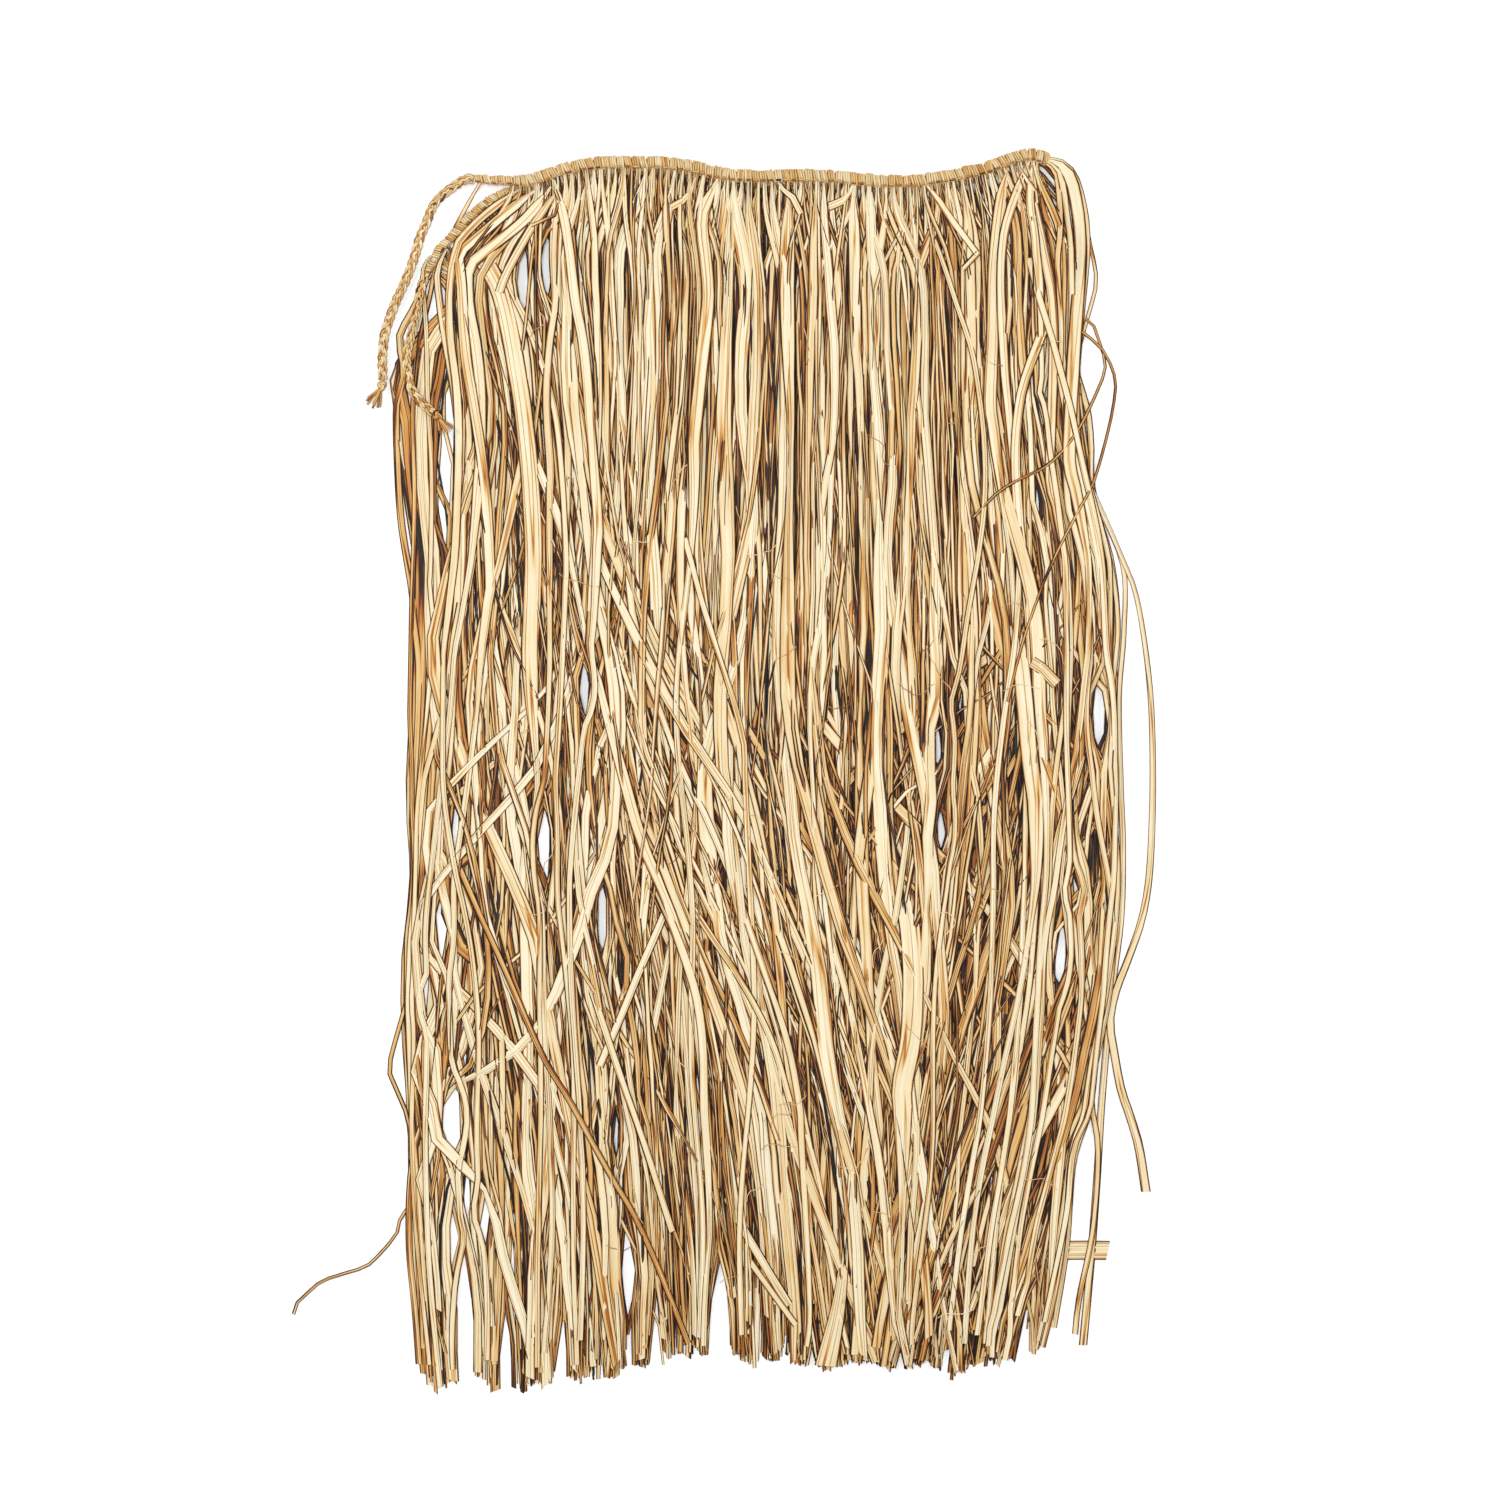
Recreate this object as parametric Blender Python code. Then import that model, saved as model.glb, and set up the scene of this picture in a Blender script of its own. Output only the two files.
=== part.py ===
# Raffia wrap skirt, laid flat with its front half on its back half.
#
# Strands are hitched side by side on a waist cord, whose two ends run out into plaited ties.
# They are built as rows of flat locks that lie on each other, from the surface up: back lower,
# back upper, front lower, front upper, and a few loose ones that cross over.
# X runs across the skirt, Y from the hem to the waist and Z up from the surface it lies on.
# Places are in millimetres: x from the middle, and drop, the distance below the top edge.

import math
import random

import bmesh
import bpy
from mathutils import Vector

MM = 0.001

# Driving dimensions, in millimetres
TOP = 406.3  # the top edge's Y, which puts the origin in the middle of the outline
LAYER = 2.1  # thickness of a row of locks
GAP = 0.3  # between pieces that lie against each other
BAND_HEIGHT = 7.5  # hitched cord, across, as it lies
BAND_THICK_FRONT = 5.0
BAND_THICK_BACK = 4.5
HITCH = 4.9  # along the cord, from one hitch to the next
RIB = 0.55  # how far a hitch stands out of the groove beside it
STRIP = 3.5  # height of the row of knots that a row of locks hangs from
TIE = 5.5  # plaited tie, across
KNOT = 7.0
TIP_LIFT = 0.4  # the ends of the lowest locks stand this much off the surface
UNEVEN = 14.0  # how much shorter than the hem a lock may be anyway

BACK_LOWER = 0.0
BACK_UPPER = BACK_LOWER + LAYER + GAP
FRONT_LOWER = BACK_UPPER + LAYER + GAP
FRONT_UPPER = FRONT_LOWER + LAYER + GAP
LOOSE = FRONT_UPPER + LAYER + GAP
LOOSE_THICK = 1.5

STRAW = (0.78, 0.62, 0.38)
TAN = (0.70, 0.50, 0.27)
BROWN = (0.60, 0.38, 0.18)

# The cord's middle line: x, drop
FRONT_BAND = [
    (-160, 21), (-138, 23), (-128, 23), (-119, 20), (-104, 15), (-80, 10.5), (-53, 10), (-37, 10.5),
    (-18, 13), (-3, 17), (19, 19), (45, 18.5), (69, 19), (89, 21), (117, 22.5), (145, 19.5),
    (173, 13.5), (186, 8.5), (201, 4.8), (209, 7),
]
BACK_BAND = [
    (-189, 77), (-185, 68), (-175, 57), (-165, 46), (-156, 38), (-148, 32), (-134, 27), (-115, 23),
    (-95, 18), (-53, 13), (-18, 16), (19, 21), (69, 21.5), (117, 24.5), (145, 22), (173, 16),
    (187, 9.5), (201, 5.4), (209, 7.6),
]

# The locks' courses. Each row: drop, then x of the courses that start at these shares of the band
FRONT_SHARES = (0.0, 0.12, 0.3, 0.55, 0.8, 1.0)
FRONT_COURSES = [
    (86, -176, -143, -50, 51, 152, 228),
    (197, -167, -131, -53, 51, 155, 232),
    (327, -196, -131, -53, 51, 158, 248),
    (476, -202, -136, -53, 52, 155, 252),
    (632, -203, -131, -47, 52, 145, 232),
    (830, -190, -141, -40, 50, 130, 204),
]
BACK_SHARES = (0.0, 0.08, 0.24, 0.55, 0.8, 1.0)
BACK_COURSES = [
    (86, -182, -156, -104, 30, 138, 222),
    (126, -200, -168, -106, 32, 140, 226),
    (197, -205, -174, -108, 34, 145, 230),
    (327, -199, -168, -104, 36, 150, 247),
    (476, -203, -166, -100, 38, 150, 252),
    (632, -203, -163, -98, 40, 140, 228),
    (830, -192, -158, -100, 40, 125, 196),
]

# Where the hem's longest locks end: x, drop
HEM = [
    (-212, 780), (-188, 812), (-131, 813), (-95, 804), (-58, 799), (-27, 789), (-9, 787), (19, 794),
    (113, 796), (150, 800), (184, 793), (206, 782), (240, 776),
]

# Slits that show the surface below: x, drop of the top, the middle and the bottom, half width
SLITS = [
    (-130, 52, 86, 118, 3.0),
    (-111, 49, 86, 112, 2.2),
    (-89, 330, 353, 376, 2.3),
    (-116, 418, 455, 492, 2.4),
    (-176, 600, 632, 664, 4.2),
    (-168, 715, 765, 832, 2.6),
    (-1, 715, 765, 832, 5.0),
    (232, 340, 368, 396, 2.4),
]
SLIT_REACH = 11.0  # how far to each side the locks give way to a slit

# Locks at the ends of a row, with a course of their own: width, then (x, drop) from root to tip
OUTER_FRONT_UPPER = (5.5, [
    (200, 14), (236, 77), (242, 197), (262, 327), (266, 476), (249, 619), (236, 780),
])
OUTER_FRONT_LOWER = (4.5, [
    (200, 14), (236, 77), (242, 164), (248, 223), (268, 288), (279, 359), (280, 444), (274, 496),
    (262, 548), (259, 600), (272, 649), (277, 680),
])
OUTER_BACK_UPPER = (9.0, [
    (200, 14), (219, 20), (231, 31), (239, 60), (238, 105), (243, 197), (261, 270), (265, 398),
    (268, 476), (258, 580), (241, 652), (232, 690), (236, 712), (252, 718),
])
OUTER_BACK_LOWER = (6.0, [
    (200, 14), (229, 26), (240, 53), (243, 87), (239, 118), (242, 197), (262, 300), (267, 430),
    (262, 553), (240, 640), (222, 769),
])
STRAY_LEFT = (3.5, [
    (-180, 76), (-186, 86), (-190, 94), (-194, 102), (-207, 128), (-212, 197), (-206, 327),
    (-210, 476), (-213, 600), (-209, 690), (-214, 709), (-228, 726), (-248, 734), (-262, 739),
    (-273, 748), (-279, 760),
])
LOOSE_LOCKS = [
    (4.0, [
        (-94, 20), (-131, 197), (-169, 398), (-170, 470), (-117, 589), (-72, 668), (-39, 734), (-22, 779),
    ]),
    (4.5, [(-53, 18), (-63, 197), (-79, 398), (-84, 554), (-34, 700), (-20, 743)]),
    (6.0, [(-20, 20), (-14, 294), (-6, 554), (7, 692), (43, 753)]),
    (11.0, [(51, 27), (61, 294), (74, 554), (79, 722), (68, 792)]),
    (12.0, [(103, 31), (119, 229), (124, 509), (124, 590), (119, 684)]),
    (5.0, [(132, 29), (163, 70), (155, 77)]),
    (2.0, [
        (196, 14), (225, 67), (236, 110), (245, 129), (246, 147), (232, 183), (211, 207), (188, 220),
        (165, 238),
    ]),
    (2.2, [
        (203, 14), (233, 67), (241, 106), (251, 132), (256, 155), (249, 197), (221, 259), (204, 298),
        (184, 359),
    ]),
]

# The ties' routes, from the cord's end to the knot: x, drop, height of the middle
TIE_FRONT = [
    (-161.1, 20.9, 7.3), (-165, 20.6, 7.0), (-170, 22.4, 6.2), (-176, 26.5, 4.8), (-184, 32.5, 3.4),
    (-189, 40, 2.9), (-192, 48, 2.8), (-196, 57, 2.8), (-199, 67, 2.8), (-203, 79, 2.8),
    (-208, 91, 2.8), (-213, 102, 2.8), (-217, 113, 2.8), (-220, 124, 2.8), (-221, 136, 2.8),
    (-220.8, 151, 2.8),
]
TIE_BACK = [
    (-191, 81.5, 2.8), (-194.2, 87, 3.3), (-196, 93, 4.8), (-197.2, 101, 6.9), (-198.5, 110, 7.7),
    (-201, 121, 7.7), (-204, 132, 7.7), (-204.5, 142, 7.7), (-203, 152, 7.7), (-200, 160, 7.7),
    (-195, 166.5, 7.7), (-187.5, 172.5, 7.7),
]
# Each knot's middle, the way its tuft runs and the tuft's length
KNOT_FRONT = (Vector((-221.2, 154.8, 3.4)), Vector((-6, 11, 0)), 14.0)
KNOT_BACK = (Vector((-184.6, 174.9, 8.3)), Vector((7, 13, 0)), 11.0)
TUFT_SPREAD = math.radians(34)  # from one side of a tuft to the other

LOCK_CORNERS = ("left low", "right low", "right high", "left high")


def place(x, drop, height):
    """A point in metres from x, drop and height in millimetres."""
    return Vector((x, TOP - drop, height)) * MM


def upright(direction):
    """A direction given with drop, as one with Y."""
    return Vector((direction.x, -direction.y, direction.z))


def blend(rows, at, column=1):
    """The column's value in a table whose rows rise by their first column."""
    if at <= rows[0][0]:
        return rows[0][column]
    for low, high in zip(rows, rows[1:]):
        if at <= high[0]:
            share = (at - low[0]) / (high[0] - low[0])
            return low[column] + share * (high[column] - low[column])
    return rows[-1][column]


def walk(route, step):
    """Points about a step apart along a route, each with its direction."""
    points = [Vector(p) for p in route]
    spans = [(b - a).length for a, b in zip(points, points[1:])]
    count = max(1, round(sum(spans) / step))
    found = []
    for k in range(count + 1):
        left = sum(spans) * k / count
        i = 0
        while i < len(spans) - 1 and left > spans[i]:
            left -= spans[i]
            i += 1
        found.append(points[i].lerp(points[i + 1], min(1.0, left / spans[i])))
    last = len(found) - 1
    return [(p, (found[min(i + 1, last)] - found[max(i - 1, 0)]).normalized())
            for i, p in enumerate(found)]


def add_to_skirt(part, colour, roughness):
    """Gives an object its own material and puts it with the skirt's pieces."""
    material = bpy.data.materials.new(part.name)
    material.use_nodes = True
    shader = material.node_tree.nodes["Principled BSDF"]
    shader.inputs["Base Color"].default_value = (*colour, 1.0)
    shader.inputs["Roughness"].default_value = roughness
    part.data.materials.append(material)
    skirt.objects.link(part)


def add_mesh(name, bm, colour, roughness=0.7):
    bmesh.ops.recalc_face_normals(bm, faces=bm.faces)
    mesh = bpy.data.meshes.new(name)
    bm.to_mesh(mesh)
    bm.free()
    add_to_skirt(bpy.data.objects.new(name, mesh), colour, roughness)


def shared_face(verts):
    """The one face that has all these verts."""
    return next(iter(set.intersection(*(set(v.link_faces) for v in verts))))


class Loft:
    """A piece that grows from one cross-section of named corners to the next."""

    def __init__(self, bm, face=None, names=None):
        self.bm = bm
        self.face = face
        self.names = names or {}
        self.first = {}
        self.waiting = None

    def add(self, corners):
        """Adds a cross-section: a place for each corner's name."""
        if self.face:
            self.pull(corners)
        elif self.waiting:
            self.start(self.waiting, corners)
        else:
            self.waiting = corners

    def start(self, corners, next_corners):
        """The first stretch is a prism whose two ends take the first two cross-sections."""
        made = bmesh.ops.create_cone(
            self.bm, cap_ends=True, segments=len(corners), radius1=1, radius2=1, depth=1)
        for side, spots, kept in ((-1, corners, self.first), (1, next_corners, self.names)):
            verts = [v for v in made["verts"] if v.co.z * side > 0]
            verts.sort(key=lambda v: math.atan2(v.co.y, v.co.x))
            kept.update(zip(verts, spots))
        for kept, spots in ((self.first, corners), (self.names, next_corners)):
            for vert, name in kept.items():
                vert.co = spots[name]
        self.face = shared_face(self.names)

    def pull(self, corners):
        """Extrudes the last face and carries each of its corners to a new place."""
        before = {tuple(v.co): self.names[v] for v in self.face.verts}
        self.face = bmesh.ops.extrude_discrete_faces(self.bm, faces=[self.face])["faces"][0]
        self.names = {v: before[tuple(v.co)] for v in self.face.verts}
        for vert, name in self.names.items():
            vert.co = corners[name]

    def beginning(self):
        return {name: vert for vert, name in self.first.items()}

    def end(self):
        return {name: vert for vert, name in self.names.items()}


def box_section(left, right, low, high):
    """A lock's cross-section from its two edges, each (x, drop), and its two heights."""
    return {
        "left low": place(*left, low), "right low": place(*right, low),
        "right high": place(*right, high), "left high": place(*left, high),
    }


def band_section(middle, across, up, thick, sunk, flat_below):
    """Five corners of the hitched cord: a flat underside and a rounded top."""
    half = BAND_HEIGHT / 2 - sunk
    low = -thick / 2 + (0 if flat_below else sunk)
    high = thick / 2 - sunk
    outline = [(-0.85 * half, low), (0.85 * half, low), (half, 0.2 * high), (0, high), (-half, 0.2 * high)]
    return {i: middle + (across * a + up * b) * MM for i, (a, b) in enumerate(outline)}


def band_run(name, line, thick, bottom, colour):
    """A run of the cord wrapped by hitches: crests and grooves in turn."""
    bm = bmesh.new()
    cord = Loft(bm)
    stations = walk([(x, drop, bottom + thick / 2) for x, drop in line], HITCH / 2)
    for k, (point, way) in enumerate(stations):
        across = upright(Vector((-way.y, way.x, 0)))
        cord.add(band_section(place(*point), across, Vector((0, 0, 1)), thick, RIB * (k % 2), bottom == 0))
    add_mesh(name, bm, colour, 0.75)


def band_fold(name, colour):
    """The cord's fold at the right, where the front run turns under and becomes the back run."""
    front_height = FRONT_LOWER + BAND_THICK_FRONT / 2
    back_height = BAND_THICK_BACK / 2
    radius = (front_height - back_height) / 2
    end = Vector((*FRONT_BAND[-1], (front_height + back_height) / 2))
    heading = (end - Vector((*FRONT_BAND[-2], end.z))).normalized()
    start = end + heading * 2 * GAP + Vector((0, GAP, 0))
    across = upright(Vector((-heading.y, heading.x, 0)))
    bm = bmesh.new()
    cord = Loft(bm)
    turns = 8
    for k in range(turns + 1):
        angle = math.pi * k / turns
        out = heading * math.sin(angle) + Vector((0, 0, math.cos(angle)))
        cord.add(band_section(
            place(*(start + out * radius)), across, upright(out), 2 * radius - 2 * GAP, RIB * (k % 2), True))
    add_mesh(name, bm, colour, 0.75)


def sides_of_slits(table):
    """For each slit, the side of it that a lock passes on: -1 for its left."""
    sides = []
    for x, _, centre, _, _ in SLITS:
        middle = (blend(table, centre, 1) + blend(table, centre, 2)) / 2
        sides.append(-1 if middle < x else 1)
    return sides


def give_way(x, drop, sides):
    """The x of a lock's edge, moved aside by the slits."""
    for (slit, top, centre, bottom, half), side in zip(SLITS, sides):
        if top < drop < bottom:
            share = (drop - top) / (centre - top) if drop <= centre else (bottom - drop) / (bottom - centre)
            away = max(0.0, side * (x - slit))
            if away < SLIT_REACH:
                x += share * (slit + side * (away + half * (1 - away / SLIT_REACH) ** 2) - x)
    return x


def section_drops(table, first, last, common):
    """The drops of a lock's cross-sections: the row's own ones and those of the slits beside it."""
    drops = {d for d in common if d > first}
    for x, top, centre, bottom, _ in SLITS:
        near = min(abs(blend(table, centre, 1) - x), abs(blend(table, centre, 2) - x))
        if near < SLIT_REACH:
            drops |= {d for d in (top, centre, bottom) if d > first}
    return sorted(d for d in drops if d < last - 8)


def strip_shape(band, ends, bottom):
    """A function that gives the strip of knots' cross-section at a share of its length."""
    line = [(p, way) for p, way in walk([(x, drop, 0) for x, drop in band], 1.0)
            if ends[0] <= p.x <= ends[1]]

    def section(share):
        at = share * (len(line) - 1)
        i = min(int(at), len(line) - 2)
        point = line[i][0].lerp(line[i + 1][0], at - i)
        way = line[i][1].lerp(line[i + 1][1], at - i).normalized()
        down = Vector((-way.y, way.x, 0))
        upper = (point + down * (BAND_HEIGHT / 2 + GAP)).xy
        lower = (point + down * (BAND_HEIGHT / 2 + GAP + STRIP)).xy
        return box_section(upper, lower, bottom, bottom + LAYER)

    return section


def grow_strip(bm, section, cells):
    """The strip of knots. Gives each cell's lower side face with its corners named as a lock's."""
    strip = Loft(bm)
    verts = []
    for a, b in cells:
        strip.add(section(a))
        left = strip.end()
        strip.add(section(b))
        left = left or strip.beginning()
        right = strip.end()
        verts.append((left["right low"], right["right low"], right["right high"], left["right high"]))
    return [Loft(bm, shared_face(four), dict(zip(four, LOCK_CORNERS))) for four in verts]


def course(shares, row, share):
    """x of the course that starts at a share of the band, in a row of courses."""
    return blend(list(zip(shares, row[1:])), share)


def grow_lock(lock, marks, shares, courses, waves, rng, bottom, shorter):
    """A lock between two marks on the band, whose edges follow the row's courses."""
    root = {name: vert.co / MM for name, vert in lock.end().items()}
    first = TOP - min(root["left low"].y, root["right low"].y)
    fill = rng.uniform(0.80, 0.97)
    thick = rng.uniform(0.72, 1.0) * LAYER
    table = [(first, root["left low"].x, root["right low"].x)]
    for row in courses:
        if row[0] < first + 12:
            continue
        edges = []
        for mark in marks:
            x = course(shares, row, mark)
            taper = min(1.0, 5 * mark, 5 * (1 - mark))
            edges.append(x + taper * sum(
                size * math.sin(x / across + row[0] / along + turn) for size, across, along, turn in waves))
        middle = sum(edges) / 2
        half = (edges[1] - edges[0]) / 2 * fill
        table.append((row[0], middle - half, middle + half))
    end_x = blend(table, HEM[1][1], 1)
    tip = blend(HEM, end_x) - rng.uniform(0, UNEVEN) - shorter * rng.random() ** 2
    sides = sides_of_slits(table)
    for drop in [*section_drops(table, first + 12, tip, [r[0] for r in courses]), tip]:
        left = give_way(blend(table, drop, 1), drop, sides)
        right = give_way(blend(table, drop, 2), drop, sides)
        lift = TIP_LIFT if drop == tip and bottom == BACK_LOWER else 0.0
        lock.add(box_section((left, drop), (right, drop), bottom + lift, bottom + thick))


def grow_single(lock, single, bottom, thick):
    """A lock that follows its own course, its cross-sections square to it."""
    width, path = single
    points = [Vector(p) for p in path]
    for i in range(1, len(points)):
        ahead = points[min(i + 1, len(points) - 1)]
        way = (ahead - points[i - 1]).normalized()
        side = Vector((way.y, -way.x)) * width / 2
        lift = TIP_LIFT if i == len(points) - 1 and bottom == BACK_LOWER else 0.0
        lock.add(box_section(points[i] - side, points[i] + side, bottom + lift, bottom + thick))


def row_of_locks(name, band, ends, bottom, count, shares, courses, seed, shorter, colour,
                 left_end=None, right_end=None):
    """A strip of knots along the band, and the locks that hang from it side by side."""
    rng = random.Random(seed)
    waves = [(rng.uniform(1.6, 2.4), rng.uniform(18, 34), rng.uniform(55, 90), rng.uniform(0, 6.3))
             for _ in range(3)]
    weights = [rng.uniform(0.65, 1.45) for _ in range(count)]
    marks = [sum(weights[:i]) / sum(weights) for i in range(count + 1)]
    edge = 0.014  # share of the strip at each end that a single lock has
    cells = []
    for a, b in zip(marks, marks[1:]):
        a, b = edge + (1 - 2 * edge) * a, edge + (1 - 2 * edge) * b
        cells.append((a + 0.2 * (b - a), b - 0.2 * (b - a)))
    singles = []
    if left_end:
        cells.insert(0, (0.0, 0.6 * edge))
        singles.append((0, left_end))
    if right_end:
        cells.append((1 - 0.6 * edge, 1.0))
        singles.append((-1, right_end))

    bm = bmesh.new()
    locks = grow_strip(bm, strip_shape(band, ends, bottom), cells)
    for at, single in singles:
        grow_single(locks.pop(at), single, bottom, 0.85 * LAYER)
    for lock, pair in zip(locks, zip(marks, marks[1:])):
        grow_lock(lock, pair, shares, courses, waves, rng, bottom, shorter)
    add_mesh(name, bm, colour)


def loose_locks(name, colour):
    """Single locks that lie over the others, on a strip of their own along the front band."""
    line = [(p.x, p.y) for p, _ in walk([(*p, 0) for p in FRONT_BAND], 1.0)]
    top_edge = BAND_HEIGHT / 2 + 3 * GAP

    def section(x):
        drop = blend(line, x) + top_edge
        return box_section((x, drop), (x, drop + 0.7 * STRIP), LOOSE, LOOSE + LOOSE_THICK)

    cells = []
    for width, path in LOOSE_LOCKS:
        half = min(width, 4.0) / 2
        x = path[0][0]
        if cells:
            before = cells[-1][1]
            steps = max(1, round((x - half - before) / 14))
            stops = [before + (x - half - before) * n / steps for n in range(1, steps)]
            cells += [(stop - 0.1, stop + 0.1) for stop in stops]
        cells.append((x - half, x + half))
    bm = bmesh.new()
    locks = grow_strip(bm, section, cells)
    roots = [lock for lock, (a, b) in zip(locks, cells) if b - a > 0.5]
    for lock, single in zip(roots, LOOSE_LOCKS):
        grow_single(lock, single, LOOSE, LOOSE_THICK)
    add_mesh(name, bm, colour)


def smooth_route(route, spacing):
    """Points a spacing apart on a smooth curve through the route's own points."""
    points = [Vector(p) for p in route]
    fine = []
    for i in range(len(points) - 1):
        a, b = points[max(i - 1, 0)], points[i]
        c, d = points[i + 1], points[min(i + 2, len(points) - 1)]
        for k in range(12):
            t = k / 12
            fine.append(0.5 * (2 * b + (c - a) * t + (2 * a - 5 * b + 4 * c - d) * t * t
                               + (3 * b - a - 3 * c + d) * t ** 3))
    fine.append(points[-1])
    return [p for p, _ in walk(fine, spacing)]


def tie(name, route, colour):
    """A plaited tie as a round cord along its route."""
    points = smooth_route(route, 2.2 * TIE)
    curve = bpy.data.curves.new(name, "CURVE")
    curve.dimensions = "3D"
    curve.bevel_depth = TIE / 2 * MM
    curve.bevel_resolution = 2
    curve.use_fill_caps = True
    spline = curve.splines.new("POLY")
    spline.points.add(len(points) - 1)
    for slot, point in zip(spline.points, points):
        slot.co = (*place(*point), 1)
    add_to_skirt(bpy.data.objects.new(name, curve), colour, 0.7)


def knot(name, shape, colour):
    """A tie's end knot, with the tuft's strands pulled out of its far side."""
    middle, way, length = shape
    centre = place(*middle)
    ahead = upright(way).normalized()
    beside = Vector((-ahead.y, ahead.x, 0))
    bm = bmesh.new()
    bmesh.ops.create_uvsphere(bm, u_segments=10, v_segments=6, radius=1)
    for vert in bm.verts:
        x, y, z = vert.co
        lump = 1 + 0.07 * math.sin(5 * math.atan2(y, x) + 3 * z)
        vert.co = centre + (ahead * x * 0.52 + beside * y * 0.46 + Vector((0, 0, z * 0.42))) * KNOT * lump * MM
    facing = [f for f in bm.faces
              if len(f.verts) == 4 and (f.calc_center_median() - centre).normalized().dot(ahead) > 0.75]
    facing.sort(key=lambda f: (f.calc_center_median() - centre).dot(beside))
    for k, face in enumerate(facing):
        turn = TUFT_SPREAD * ((k + 0.5) / len(facing) - 0.5)
        reach = length * (0.8 + 0.07 * (k * 3 % 4))  # uneven ends
        out = (ahead * math.cos(turn) + beside * math.sin(turn)) * reach * MM
        start = face.calc_center_median()
        strand = Loft(bm, face, {v: i for i, v in enumerate(face.verts)})
        spots = {i: v.co - start for i, v in strand.end().items()}
        for share, size in ((0.45, 0.62), (1.0, 0.5)):
            strand.add({i: start + out * share + spot * size for i, spot in spots.items()})
    add_mesh(name, bm, colour)


for old in list(bpy.data.objects):
    bpy.data.objects.remove(old, do_unlink=True)
skirt = bpy.data.collections.new("grass_skirt")
bpy.context.scene.collection.children.link(skirt)

band_run("waistband_back", BACK_BAND, BAND_THICK_BACK, 0.0, STRAW)
band_run("waistband_front", FRONT_BAND, BAND_THICK_FRONT, FRONT_LOWER, STRAW)
band_fold("waistband_fold", STRAW)

row_of_locks("fringe_back_lower", BACK_BAND, (-187, 198.5), BACK_LOWER, 34, BACK_SHARES, BACK_COURSES,
             seed=11, shorter=20, colour=BROWN, right_end=OUTER_BACK_LOWER)
row_of_locks("fringe_back_upper", BACK_BAND, (-187, 198.5), BACK_UPPER, 34, BACK_SHARES, BACK_COURSES,
             seed=12, shorter=30, colour=TAN, left_end=STRAY_LEFT, right_end=OUTER_BACK_UPPER)
row_of_locks("fringe_front_lower", FRONT_BAND, (-147, 198.5), FRONT_LOWER, 38, FRONT_SHARES, FRONT_COURSES,
             seed=13, shorter=35, colour=TAN, right_end=OUTER_FRONT_LOWER)
row_of_locks("fringe_front_upper", FRONT_BAND, (-147, 198.5), FRONT_UPPER, 38, FRONT_SHARES, FRONT_COURSES,
             seed=14, shorter=60, colour=STRAW, right_end=OUTER_FRONT_UPPER)
loose_locks("fringe_loose", STRAW)

tie("tie_front", TIE_FRONT, STRAW)
knot("knot_front", KNOT_FRONT, TAN)
tie("tie_back", TIE_BACK, STRAW)
knot("knot_back", KNOT_BACK, TAN)
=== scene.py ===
# Raffia wrap skirt, laid flat with its front half on its back half: the looks around the frame.
# Inside, places are in millimetres: x across, drop below the top edge, height above the floor.

import math
import random

import bpy
import numpy as np
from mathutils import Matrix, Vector


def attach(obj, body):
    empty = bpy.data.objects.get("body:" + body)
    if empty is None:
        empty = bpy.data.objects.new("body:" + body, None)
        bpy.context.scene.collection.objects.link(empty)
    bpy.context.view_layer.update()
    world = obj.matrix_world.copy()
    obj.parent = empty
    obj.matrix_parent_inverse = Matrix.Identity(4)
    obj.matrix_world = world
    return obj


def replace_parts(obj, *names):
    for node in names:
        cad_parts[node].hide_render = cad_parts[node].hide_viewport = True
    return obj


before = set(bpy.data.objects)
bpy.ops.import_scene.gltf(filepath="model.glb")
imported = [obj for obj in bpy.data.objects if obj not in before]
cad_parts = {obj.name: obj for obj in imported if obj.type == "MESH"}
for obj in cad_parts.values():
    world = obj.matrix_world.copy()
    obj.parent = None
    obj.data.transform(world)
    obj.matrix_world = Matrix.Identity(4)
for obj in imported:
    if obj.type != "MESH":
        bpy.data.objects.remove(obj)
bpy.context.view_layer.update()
bpy.ops.object.select_all(action="DESELECT")
print("frame loaded")

mm = 0.001
topEdge = 406.3  # Y of drop 0
photo = {"middle": 721.5, "top": 147.0, "size": 0.65}  # pixel of x 0, pixel of drop 0, mm to a pixel


def smooth(t):
    t = np.clip(t, 0.0, 1.0)
    return t * t * (3 - 2 * t)


def fromPhoto(path):
    # pixels of the 1500 frame to (x, drop)
    return [((px - photo["middle"]) * photo["size"], (py - photo["top"]) * photo["size"]) for px, py in path]


def inWorld(x, drop, height):
    return Vector((x * mm, (topEdge - drop) * mm, height * mm))


def curveThrough(points, step):
    # even points, a step apart, on a smooth curve through the given ones
    points = np.array(points, float)
    fine = []
    for i in range(len(points) - 1):
        a = points[max(i - 1, 0)]
        b = points[i]
        c = points[i + 1]
        d = points[min(i + 2, len(points) - 1)]
        for t in np.linspace(0, 1, 12, endpoint=False):
            fine.append(0.5 * (2 * b + (c - a) * t + (2 * a - 5 * b + 4 * c - d) * t * t
                               + (3 * b - a - 3 * c + d) * t ** 3))
    fine = np.array([*fine, points[-1]])
    return evenly(fine, step)


def evenly(points, step):
    gone = np.concatenate([[0], np.cumsum(np.linalg.norm(np.diff(points, axis=0), axis=1))])
    count = max(2, int(round(gone[-1] / step)) + 1)
    at = np.linspace(0, gone[-1], count)
    return np.stack([np.interp(at, gone, points[:, k]) for k in range(points.shape[1])], 1)


# Camera, and helpers for the strand meshes and the material nodes

camera = {"x": 18.5, "drop": 392.0, "wide": 975.0, "height": 7.0, "lens": 85.0, "sensor": 36.0}


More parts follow.
